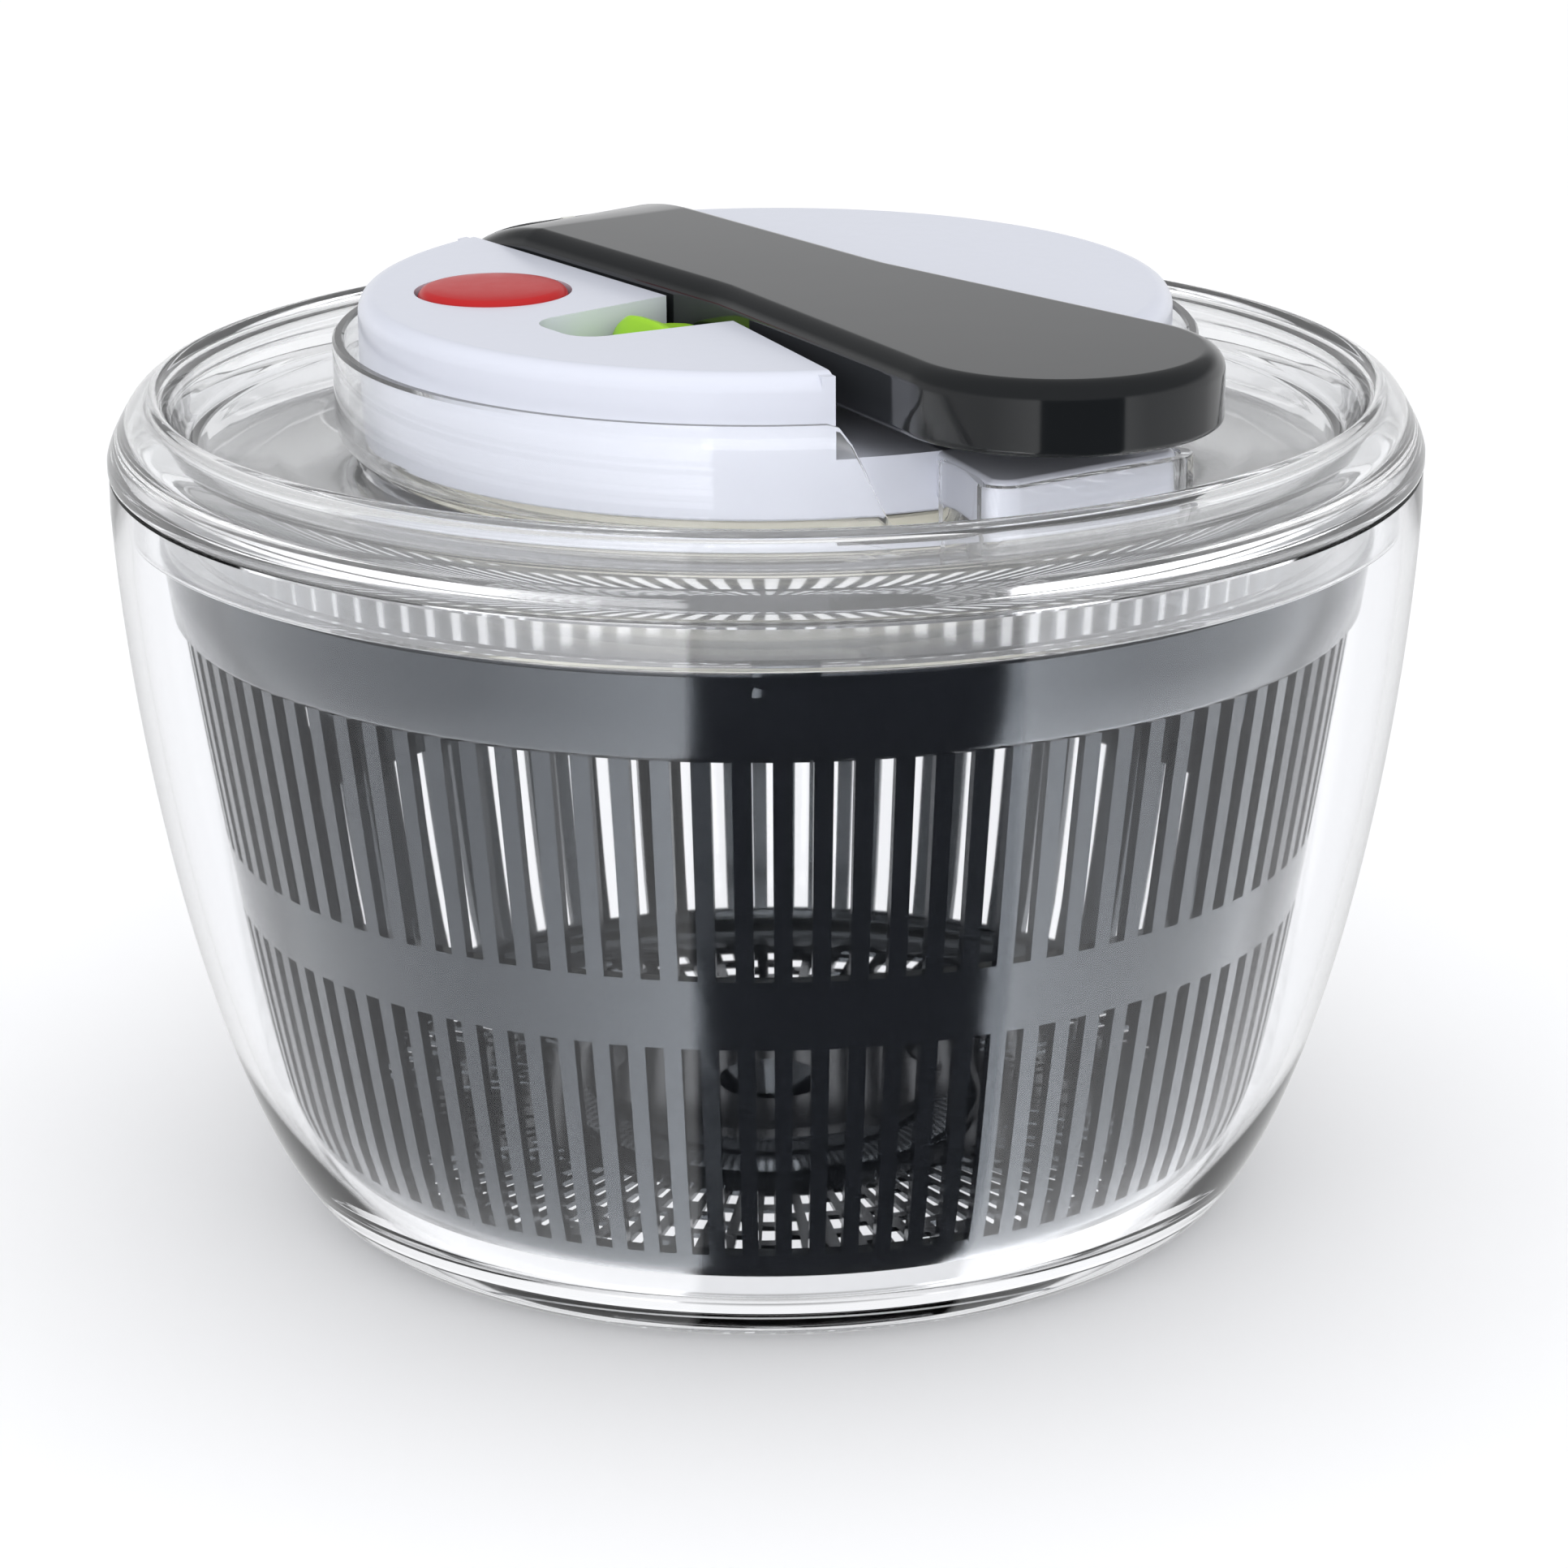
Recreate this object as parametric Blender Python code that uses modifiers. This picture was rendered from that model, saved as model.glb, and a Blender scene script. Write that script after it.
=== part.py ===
"""Press-lever salad spinner: clear bowl, slotted basket, clear domed lid and its geared lever drive.

Lengths are in millimetres in the values below and become metres in the helpers.
The origin is the centre of the bowl's underside, +Z is up and the lever points along +X.
"""

import math

import bmesh
import bpy
from mathutils import Matrix, Vector

MM = 0.001
GAP = 0.3          # between pieces that rest on or fit in each other
MERGE = 0.00001    # merge distance of the turned shapes, metres
STEPS = 40         # sides of the large turned shapes

# Bowl
RIM_RADIUS = 125.0
BOWL_HEIGHT = 145.1
FOOT_RADIUS = 88.0
BOWL_WALL = 2.8
FOOT_RING_WIDTH = 7.0
FOOT_RING_HEIGHT = 2.4
PIP_RADIUS = 5.0
PIP_HEIGHT = 5.6

# Basket
BASKET_WALL = 2.0
BASKET_FLOOR = 12.0
BASKET_GAP_LOW = 7.0
BASKET_GAP_HIGH = 11.0
BASKET_RIM_DROP = 11.0
BAND_HEIGHT = 15.5
BAND_STEP = 1.4
BAND_FLARE = 2.6
MID_BAND_HEIGHT = 13.5
LOW_BAND_HEIGHT = 7.0
SLOT_COUNT = 32
SLOT_WIDTH = 3.6
FLOOR_HOLE = 4.0
FLOOR_HOLE_RINGS = 2
FLOOR_HOLE_COUNT = 14
DISC_RADIUS = 40.0
LUG_COUNT = 4
LUG_TURN = math.radians(57)
NOTCH_WIDTH = 14.0
NOTCH_DEPTH = 5.0

# Lid
LID_WALL = 2.5
SKIRT_DEPTH = 9.1
SKIRT_THICK = 2.4
BEAD_HEIGHT = 14.4
TURRET_RADIUS = 82.0
TURRET_WALL = 2.2
TURRET_TOP = 23.6      # above the lid's seat on the bowl
WELL_FLOOR = 1.5       # above the seat
LEDGE_RADIUS = 70.0

# White cover, its channel and its tongue
COVER_RADIUS = 77.0
COVER_WALL = 2.4
COVER_TOP = 31.7
COVER_SKIRT = 10.5
CHANNEL_HALF = 21.2
CHANNEL_FLOOR = 16.4
CHANNEL_MOUTH_HALF = 33.0
FLARE_START = 13.0
TONGUE_NECK_HALF = 15.0
TONGUE_HALF = 20.5
TONGUE_INSET = 24.5    # from the rim radius to the tongue's end
TONGUE_DEPTH = 9.0

# Lever
LEVER_HALF = 20.4
LEVER_TOP = 35.9
LEVER_BOTTOM = 22.9
LEVER_WALL = 2.2
LEVER_TIP_HALF = 29.6
LEVER_TIP_INSET = 6.0  # from the rim radius to the lever's tip
LEVER_EDGE = 2.6
PIVOT_X = -66.0
PIVOT_Z = 25.9
PIN_RADIUS = 2.0
PEG_RADIUS = 1.1
LEVER_TRAVEL = math.radians(30)

# Gear train
MODULE = 1.0
SMALL_TEETH = 10
LARGE_TEETH = 48
GEAR_SHIFT = 24.0      # from the spindle back to the compound gear, in modules
ARM_LENGTH = 19.0
PLATE_THICK = 3.0
SHAFT_RADIUS = 3.0
GEAR_THICK = 3.0
RACK_THICK = 3.8

BASE_RADIUS = 76.0

# Driver
DRIVER_RADIUS = 30.0
DRIVER_THICK = 1.7
RATCHET_RADIUS = 17.0
RATCHET_TEETH = 12
CLUTCH_HEIGHT = 2.4

# Brake and lock
BUTTON_X = -25.0
BUTTON_Y = -45.0
BUTTON_RADIUS = 14.3
BUTTON_RISE = 1.2
BUTTON_TRAVEL = 3.0
STEM_RADIUS = 3.5
PAD_RADIUS = 7.0
LOCK_X = 11.0
POCKET_HALF = 13.0
POCKET_END_HALF = 9.6
POCKET_LENGTH = 33.0
POCKET_DEPTH = 13.1
SLIDER_HALF = 9.5
SLIDER_TOP = 6.6       # below the cover's top
RIDGE_TOP = 1.4        # below the cover's top
LOCK_TRAVEL = 7.0
CATCH_HALF = 2.5
TONGUE_PLATE = 2.3

# Fasteners
SCREW_RING = 64.0
SCREW_ANGLES = (50.0, 130.0, 262.0, 316.0)
SCREW_RADIUS = 1.3
BOSS_RADIUS = 3.6

# Places that follow from the sizes above
SEAT = BOWL_HEIGHT + GAP
COVER_Z = SEAT + COVER_TOP
FLOOR_Z = SEAT + CHANNEL_FLOOR
PIVOT = Vector((PIVOT_X, 0.0, SEAT + PIVOT_Z))
TONGUE_END = RIM_RADIUS - TONGUE_INSET
LEVER_TIP = RIM_RADIUS - LEVER_TIP_INSET
SMALL_PITCH = MODULE * SMALL_TEETH / 2
LARGE_PITCH = MODULE * LARGE_TEETH / 2
GEAR_X = -GEAR_SHIFT * MODULE
GEAR_Y = math.sqrt((SMALL_PITCH + LARGE_PITCH) ** 2 - GEAR_X ** 2)
RACK_PITCH_Y = GEAR_Y - SMALL_PITCH
RACK_BACK = RACK_PITCH_Y - 6.0
LID_UNDER = SEAT + WELL_FLOOR - LID_WALL
PLATE_Z = LID_UNDER - GAP
PLATE_LOW = PLATE_Z - PLATE_THICK
LARGE_Z = PLATE_Z + 1.2
RACK_Z = LARGE_Z + GEAR_THICK + 0.6
RACK_TOP = RACK_Z + RACK_THICK
BASKET_TOP = BOWL_HEIGHT - BASKET_RIM_DROP
SPIN_COVER_TOP = BASKET_TOP + GAP + 2.0
DRIVER_Z = SPIN_COVER_TOP + GAP + DRIVER_THICK
DRIVER_LOW = BASKET_TOP - 0.9
BAND_BOTTOM = BASKET_TOP - BAND_HEIGHT
LOW_SLOT_BOTTOM = BASKET_FLOOR + LOW_BAND_HEIGHT
SLOT_HEIGHT = (BAND_BOTTOM - LOW_SLOT_BOTTOM - MID_BAND_HEIGHT) / 2
BUTTON_TOP = COVER_Z + BUTTON_RISE
POCKET_FLOOR = COVER_Z - POCKET_DEPTH
POCKET_END_Y = -CHANNEL_HALF - POCKET_LENGTH
PAD_LOW = SPIN_COVER_TOP + GAP + BUTTON_TRAVEL
STEM_LOW = PAD_LOW + 3.2
GUIDE_LOW = COVER_Z - 15.0
PIN_BORE_HALF = CHANNEL_HALF + COVER_WALL + 2.4   # clears both walls of the channel


# ---------------------------------------------------------------- helpers

def clear_scene():
    for obj in list(bpy.data.objects):
        bpy.data.objects.remove(obj, do_unlink=True)


def new_collection(name):
    collection = bpy.data.collections.new(name)
    bpy.context.scene.collection.children.link(collection)
    return collection


clear_scene()
PARTS = new_collection("salad_spinner")
CUTTERS = new_collection("cutters")
CUTTERS.hide_render = True


def material(name, colour, roughness, metallic=0.0, transmission=0.0):
    made = bpy.data.materials.new(name)
    made.use_nodes = True
    shader = made.node_tree.nodes["Principled BSDF"]
    shader.inputs["Base Color"].default_value = (*colour, 1.0)
    shader.inputs["Roughness"].default_value = roughness
    shader.inputs["Metallic"].default_value = metallic
    shader.inputs["Transmission Weight"].default_value = transmission
    return made


def smooth(mesh, angle=30):
    mesh.shade_smooth()
    mesh.set_sharp_from_angle(angle=math.radians(angle))


def place(obj, look):
    """Puts an object among the parts with its material, or among the cutters when it has none."""
    if look is None:
        CUTTERS.objects.link(obj)
        obj.hide_render = True
        obj.display_type = "WIRE"
    else:
        PARTS.objects.link(obj)
        obj.data.materials.append(look)
    return obj


def from_bmesh(name, shape, look=None):
    bmesh.ops.recalc_face_normals(shape, faces=shape.faces)
    mesh = bpy.data.meshes.new(name)
    shape.to_mesh(mesh)
    shape.free()
    smooth(mesh)
    return place(bpy.data.objects.new(name, mesh), look)


def signed_area(points):
    return sum(a[0] * b[1] - b[0] * a[1] for a, b in zip(points, points[1:] + points[:1])) / 2


def turned(name, section, look=None, steps=48, centre=(0.0, 0.0)):
    """Turns a closed section of (radius, height) points, or one closed by the axis, round a vertical axis."""
    on_axis = section[0][0] == 0.0 and section[-1][0] == 0.0
    points = list(section) if signed_area(list(section)) < 0 else list(reversed(section))
    shape = bmesh.new()
    corners = [shape.verts.new((r * MM, 0.0, z * MM)) for r, z in points]
    for start, end in zip(corners, corners[1:]):
        shape.edges.new((start, end))
    if not on_axis:
        shape.edges.new((corners[-1], corners[0]))
    mesh = bpy.data.meshes.new(name)
    shape.to_mesh(mesh)
    shape.free()
    obj = bpy.data.objects.new(name, mesh)
    obj.location = (centre[0] * MM, centre[1] * MM, 0.0)
    screw = obj.modifiers.new("turn", "SCREW")
    screw.steps = steps
    screw.render_steps = steps
    screw.use_merge_vertices = True
    screw.merge_threshold = MERGE
    screw.use_smooth_shade = True
    return place(obj, look)


def plate(name, outlines, low, high, look=None):
    """Extrudes a flat outline, with any holes, between two heights."""
    curve = bpy.data.curves.new(name, "CURVE")
    curve.dimensions = "2D"
    curve.fill_mode = "BOTH"
    curve.extrude = (high - low) / 2 * MM
    for outline in outlines:
        spline = curve.splines.new("POLY")
        spline.points.add(len(outline) - 1)
        for point, (x, y) in zip(spline.points, outline):
            point.co = (x * MM, y * MM, 0.0, 1.0)
        spline.use_cyclic_u = True
    guide = bpy.data.objects.new(name, curve)
    bpy.context.scene.collection.objects.link(guide)
    evaluated = guide.evaluated_get(bpy.context.evaluated_depsgraph_get())
    mesh = bpy.data.meshes.new_from_object(evaluated)
    bpy.data.objects.remove(guide)
    bpy.data.curves.remove(curve)
    shape = bmesh.new()
    shape.from_mesh(mesh)
    bpy.data.meshes.remove(mesh)
    bmesh.ops.remove_doubles(shape, verts=shape.verts, dist=1e-7)
    bmesh.ops.dissolve_limit(shape, angle_limit=0.001, verts=shape.verts, edges=shape.edges)
    bmesh.ops.translate(shape, verts=shape.verts, vec=(0.0, 0.0, (low + high) / 2 * MM))
    return from_bmesh(name, shape, look)


def rod(name, start, end, radius, look=None, sides=20):
    """A round bar between two points."""
    start, end = Vector(start) * MM, Vector(end) * MM
    axis = end - start
    turn = Vector((0.0, 0.0, 1.0)).rotation_difference(axis).to_matrix().to_4x4()
    shape = bmesh.new()
    bmesh.ops.create_cone(
        shape, cap_ends=True, segments=sides, radius1=radius * MM, radius2=radius * MM,
        depth=axis.length, matrix=Matrix.Translation((start + end) / 2) @ turn,
    )
    return from_bmesh(name, shape, look)


def block(name, low, high, look=None):
    """A box between two corners."""
    low, high = Vector(low) * MM, Vector(high) * MM
    shape = bmesh.new()
    bmesh.ops.create_cube(shape, size=1.0)
    bmesh.ops.scale(shape, verts=shape.verts, vec=high - low)
    bmesh.ops.translate(shape, verts=shape.verts, vec=(low + high) / 2)
    return from_bmesh(name, shape, look)


def combine(obj, other, operation):
    step = obj.modifiers.new(operation.lower(), "BOOLEAN")
    step.operation = operation
    step.solver = "EXACT"
    step.object = other
    return obj


def cut(obj, *cutters):
    for cutter in cutters:
        combine(obj, cutter, "DIFFERENCE")
    return obj


def join(obj, *others):
    for other in others:
        combine(obj, other, "UNION")
    return obj


def move_origin(obj, point):
    """Puts the object's origin on its joint's axis and leaves its shape where it is."""
    point = Vector(point) * MM
    obj.data.transform(Matrix.Translation(obj.location - point))
    obj.location = point
    return obj


def arc(centre, radius, start, end, count):
    """Points on an arc between two angles in degrees, both ends included."""
    for step in range(count + 1):
        angle = math.radians(start + (end - start) * step / count)
        yield centre[0] + radius * math.cos(angle), centre[1] + radius * math.sin(angle)


def circle(radius, count=32, centre=(0.0, 0.0)):
    return list(arc(centre, radius, 0.0, 360.0 * (count - 1) / count, count - 1))


def mirrored(points):
    """An outline from its +Y half, listed from one end on the X axis side to the other."""
    return list(points) + [(x, -y) for x, y in reversed(list(points))]


# ---------------------------------------------------------------- bowl and basket

def bowl_radius(height):
    share = min(max(height / BOWL_HEIGHT, 0.0), 1.0)
    return FOOT_RADIUS + (RIM_RADIUS - FOOT_RADIUS) * (1 - (1 - share) ** 1.6) ** 0.62


def make_bowl(look):
    floor = FOOT_RING_HEIGHT + BOWL_WALL
    heights = [BOWL_HEIGHT * (step / 10) ** 1.8 for step in range(11)]
    outer = [(bowl_radius(z), z) for z in heights]
    inner = [(bowl_radius(z) - BOWL_WALL, z) for z in heights if z > floor + 4]
    ring = FOOT_RADIUS - FOOT_RING_WIDTH
    section = list(reversed(outer)) + [
        (ring, 0.0),
        (ring - 1.0, FOOT_RING_HEIGHT),
        (0.0, FOOT_RING_HEIGHT),
        (0.0, floor + PIP_HEIGHT),
        (PIP_RADIUS * 0.4, floor + PIP_HEIGHT - 0.6),
        (PIP_RADIUS, floor),
        (bowl_radius(floor) - 2 * BOWL_WALL, floor),
    ] + inner
    axis_at = section.index((0.0, FOOT_RING_HEIGHT))
    section = section[axis_at + 1:] + section[:axis_at + 1]
    return turned("bowl", section, look, steps=STEPS)


def basket_radius(height):
    """Outer radius of the basket's slotted wall."""
    low = bowl_radius(LOW_SLOT_BOTTOM) - BASKET_GAP_LOW
    high = bowl_radius(BAND_BOTTOM) - BASKET_GAP_HIGH
    share = max((height - LOW_SLOT_BOTTOM) / (BAND_BOTTOM - LOW_SLOT_BOTTOM), 0.0)
    return low + (high - low) * share ** 0.8


def basket_rim_radius():
    return basket_radius(BAND_BOTTOM) + BAND_STEP + BAND_FLARE


def make_basket(look):
    low = basket_radius(LOW_SLOT_BOTTOM)
    wall_heights = [LOW_SLOT_BOTTOM + (BAND_BOTTOM - LOW_SLOT_BOTTOM) * step / 4 for step in range(5)]
    outer = [(basket_radius(z), z) for z in wall_heights]
    inner = [(r - BASKET_WALL, z) for r, z in outer]
    band = basket_radius(BAND_BOTTOM) + BAND_STEP
    rim = basket_rim_radius()
    hub = PIP_RADIUS + GAP
    floor_top = BASKET_FLOOR + BASKET_WALL
    pip_top = FOOT_RING_HEIGHT + BOWL_WALL + PIP_HEIGHT
    section = [
        (0.0, floor_top + 2.0),
        (DISC_RADIUS - 8.0, floor_top + 2.0),
        (DISC_RADIUS - 6.0, floor_top + 5.0),
        (DISC_RADIUS - 3.0, floor_top + 5.0),
        (DISC_RADIUS, floor_top),
        (low - 9.0, floor_top),
        (low - BASKET_WALL - 1.0, floor_top + 4.0),
    ] + inner + [
        (band - BASKET_WALL, BAND_BOTTOM + 1.5),
        (rim - BASKET_WALL, BASKET_TOP),
        (rim, BASKET_TOP),
        (band, BAND_BOTTOM),
    ] + list(reversed(outer)) + [
        (low - 1.5, BASKET_FLOOR + 3.0),
        (low - 6.0, BASKET_FLOOR),
        (hub + 5.0, BASKET_FLOOR),
        (hub + 3.0, FOOT_RING_HEIGHT + BOWL_WALL + 2.0),
        (hub, FOOT_RING_HEIGHT + BOWL_WALL + 2.0),
        (hub, pip_top + GAP),
        (0.0, pip_top + GAP),
    ]
    basket = turned("basket", section, look, steps=SLOT_COUNT)
    return cut(basket, slot_cutter(), floor_cutter(), notch_cutter("basket_notches"))


def add_radial_box(shape, radius, angle, width, low, high, depth):
    """Adds a box whose middle lies at a radius and an angle, as a cutter through a wall."""
    centre = Matrix.Rotation(angle, 4, "Z") @ Matrix.Translation((radius * MM, 0.0, (low + high) / 2 * MM))
    size = Matrix.Diagonal((depth * MM, width * MM, (high - low) * MM, 1.0))
    bmesh.ops.create_cube(shape, size=1.0, matrix=centre @ size)


def slot_cutter():
    shape = bmesh.new()
    for row in range(2):
        low = LOW_SLOT_BOTTOM + row * (SLOT_HEIGHT + MID_BAND_HEIGHT)
        radius = basket_radius(low + SLOT_HEIGHT / 2)
        for slot in range(SLOT_COUNT):
            angle = 2 * math.pi * (slot + 0.5) / SLOT_COUNT
            add_radial_box(shape, radius, angle, SLOT_WIDTH, low, low + SLOT_HEIGHT, 18.0)
    return from_bmesh("basket_slots", shape)


def floor_cutter():
    shape = bmesh.new()
    inner, outer = DISC_RADIUS + 8.0, basket_radius(LOW_SLOT_BOTTOM) - 14.0
    for ring in range(FLOOR_HOLE_RINGS):
        radius = inner + (outer - inner) * ring / (FLOOR_HOLE_RINGS - 1)
        for hole in range(FLOOR_HOLE_COUNT):
            angle = 2 * math.pi * (hole + 0.5) / FLOOR_HOLE_COUNT
            low, high = BASKET_FLOOR - 1.0, BASKET_FLOOR + BASKET_WALL + 1.0
            add_radial_box(shape, radius, angle, FLOOR_HOLE, low, high, 2 * FLOOR_HOLE)
    return from_bmesh("basket_floor_holes", shape)


def lug_angles():
    for lug in range(LUG_COUNT):
        yield LUG_TURN + 2 * math.pi * lug / LUG_COUNT


def notch_cutter(name):
    """The notches in the basket's rim that take the lugs of the basket cover."""
    shape = bmesh.new()
    for angle in lug_angles():
        low, high = BASKET_TOP - NOTCH_DEPTH, BASKET_TOP + 2.0
        add_radial_box(shape, basket_rim_radius(), angle, NOTCH_WIDTH, low, high, 12.0)
    return from_bmesh(name, shape)


# ---------------------------------------------------------------- lid

def make_lid(look):
    rim, seat, wall = RIM_RADIUS, SEAT, LID_WALL
    well = seat + WELL_FLOOR
    crest = seat + BEAD_HEIGHT
    top = seat + TURRET_TOP
    skirt = bowl_radius(BOWL_HEIGHT - SKIRT_DEPTH) - BOWL_WALL - 0.6
    inner = TURRET_RADIUS - TURRET_WALL
    section = [
        (rim, seat + 2.4),
        (rim, seat),
        (skirt, seat),
        (skirt, seat - SKIRT_DEPTH),
        (skirt - SKIRT_THICK, seat - SKIRT_DEPTH),
        (skirt - SKIRT_THICK, seat),
        (rim - 4.0, seat + 5.4),
        (rim - 5.8, crest - 5.2),
        (rim - 8.6, crest - wall),
        (rim - 14.4, crest - 5.4),
        (rim - 17.6, seat + 3.4),
        (rim - 21.0, seat + 0.4),
        (TURRET_RADIUS + 2.0, well - wall),
        (LEDGE_RADIUS, well - wall),
        (LEDGE_RADIUS, well),
        (inner - 2.8, well),
        (inner - 2.8, seat + 4.0),
        (inner, seat + 9.6),
        (inner, top),
        (TURRET_RADIUS - 0.5, top),
        (TURRET_RADIUS, top - 0.6),
        (TURRET_RADIUS, seat + 9.0),
        (TURRET_RADIUS - 2.6, well + 1.2),
        (TURRET_RADIUS + 2.0, well),
        (rim - 19.0, seat + 3.0),
        (rim - 16.0, seat + 6.4),
        (rim - 13.0, crest - 2.6),
        (rim - 8.6, crest),
        (rim - 4.4, crest - 3.0),
        (rim - 1.4, seat + 7.0),
    ]
    lid = turned("lid_shell", section, look, steps=STEPS)
    return cut(join(lid, tongue_box()), mouth_cutter(), tongue_hollow(), cover_room())


def tongue_outline(grow):
    """The white tongue under the lever's tip, grown sideways by a margin."""
    end, neck = TONGUE_END + grow, TONGUE_NECK_HALF + grow
    half = TONGUE_HALF + grow
    corner = 5.0
    half_outline = [(COVER_RADIUS - 8.0, neck), (end - corner, half), (end - 1.4, half - 1.6), (end, half - corner)]
    return mirrored(half_outline)


def tongue_box():
    low, high = SEAT + WELL_FLOOR - LID_WALL + 0.1, FLOOR_Z - 0.6
    return plate("tongue_box", [tongue_outline(0.6 + TURRET_WALL)], low, high)


def tongue_hollow():
    """The room that the tongue fills, open at the top and joined to the turret's inside."""
    low, high = SEAT + WELL_FLOOR, COVER_Z
    return plate("tongue_hollow", [tongue_outline(0.6)], low, high)


def cover_room():
    """The room inside the turret for the cover, and inside the ledge for the base plate's wall."""
    low, step, room = PLATE_Z - 3.0, SEAT + 6.0, COVER_RADIUS + 0.8
    section = [(0.0, COVER_Z), (room, COVER_Z), (room, step), (LEDGE_RADIUS, step), (LEDGE_RADIUS, low), (0.0, low)]
    return turned("cover_room", section)


def mouth_cutter():
    """Lowers the turret's wall where the channel opens."""
    angle = math.asin(CHANNEL_MOUTH_HALF / COVER_RADIUS)
    wide = TURRET_RADIUS + 6.0
    outline = [
        (0.0, 0.0),
        (wide * math.cos(angle), -wide * math.sin(angle)),
        (wide * 1.3, 0.0),
        (wide * math.cos(angle), wide * math.sin(angle)),
    ]
    return plate("mouth_cutter", [outline], FLOOR_Z - 0.6, COVER_Z)


# ---------------------------------------------------------------- white cover

def channel_outline(grow, back, front):
    """The lever's channel, grown sideways by a margin, between two X positions."""
    flare = (CHANNEL_MOUTH_HALF - CHANNEL_HALF) / (COVER_RADIUS * 0.9 - FLARE_START)
    return mirrored([
        (back, CHANNEL_HALF + grow),
        (FLARE_START, CHANNEL_HALF + grow),
        (front, CHANNEL_HALF + grow + flare * (front - FLARE_START)),
    ])


def pocket_outline(grow, open_y):
    """The lock's recess: widest towards the channel, where it ends at open_y, with a rounded outer end."""
    radius = 6.5 + grow
    end = POCKET_END_Y - grow
    middle = POCKET_END_HALF + grow - radius
    corner = list(arc((middle, end + radius), radius, 0.0, -90.0, 4))
    right = [(POCKET_HALF + grow, open_y)] + corner
    left = [(-x, y) for x, y in reversed(right)]
    return shifted(right + left, LOCK_X, 0.0)


def polar(radius, degrees):
    angle = math.radians(degrees)
    return radius * math.cos(angle), radius * math.sin(angle)


def screw_places():
    return [polar(SCREW_RING, degrees) for degrees in SCREW_ANGLES]


def make_cover(look):
    low, top = SEAT + COVER_SKIRT - 0.5, COVER_Z
    edge = 3.4
    outline = [(0.0, low), (COVER_RADIUS, low), (COVER_RADIUS, top - edge)]
    outline += [(r, z) for r, z in arc((COVER_RADIUS - edge, top - edge), edge, 15, 90, 4)] + [(0.0, top)]
    cover = turned("top_cover", outline, look, steps=STEPS)
    cut(cover, plate("cover_channel", [channel_outline(0.0, -95.0, 95.0)], FLOOR_Z, top + 5.0))
    join(cover, plate("tongue_solid", [tongue_outline(0.0)], FLOOR_Z - TONGUE_DEPTH, FLOOR_Z))
    cut(cover, cover_cavity())
    join(cover, *cover_additions())
    return cut(cover, *cover_openings())


def cover_additions():
    """The bosses, ribs and guides under the cover."""
    top = COVER_Z
    for number, angle in enumerate(SCREW_ANGLES, 1):
        x, y = polar(SCREW_RING, angle)
        yield rod(f"boss_{number}", (x, y, PLATE_Z + GAP), (x, y, top - 1.0), BOSS_RADIUS, sides=12)
        yield ledge_rib(f"ledge_rib_{number}", angle)
    yield rod("spindle_boss", (0, 0, RACK_Z + 1.5), (0, 0, FLOOR_Z - 1.0), 5.2, sides=16)
    yield rod("pin_boss", (GEAR_X, GEAR_Y, RACK_TOP + 0.6), (GEAR_X, GEAR_Y, FLOOR_Z - 1.0), 3.6, sides=12)
    yield block("rack_rail", (GEAR_X - 22, RACK_BACK - 3.2, RACK_Z), (GEAR_X + 14, RACK_BACK - GAP, FLOOR_Z - 1.0))
    yield block("rack_stop", (GEAR_X - 22, RACK_BACK - 1.0, RACK_TOP + GAP),
                (GEAR_X - 12, RACK_BACK + 3.5, FLOOR_Z - 1.0))
    yield rod("button_well", (BUTTON_X, BUTTON_Y, GUIDE_LOW), (BUTTON_X, BUTTON_Y, top - 1.0),
              BUTTON_RADIUS + 2.4, sides=28)
    yield plate("lock_tray", [pocket_outline(2.0, -CHANNEL_HALF - 1.0)], POCKET_FLOOR - 2.0, top - 1.0)


def ledge_rib(name, angle):
    """A rib from a boss to the skirt, whose foot stands on the lid's ledge."""
    low, high = SEAT + WELL_FLOOR + GAP, SEAT + COVER_SKIRT + 8.0
    shape = bmesh.new()
    add_radial_box(shape, (SCREW_RING + COVER_RADIUS - 1.0) / 2, math.radians(angle), 3.0, low, high,
                   COVER_RADIUS - 1.0 - SCREW_RING)
    return from_bmesh(name, shape)


def pin_bore_rod(name, sides):
    """The hole for the lever's pin, through both walls of the channel."""
    reach = Vector((0, PIN_BORE_HALF, 0))
    return rod(name, PIVOT - reach, PIVOT + reach, PIN_RADIUS + GAP, sides=sides)


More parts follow.
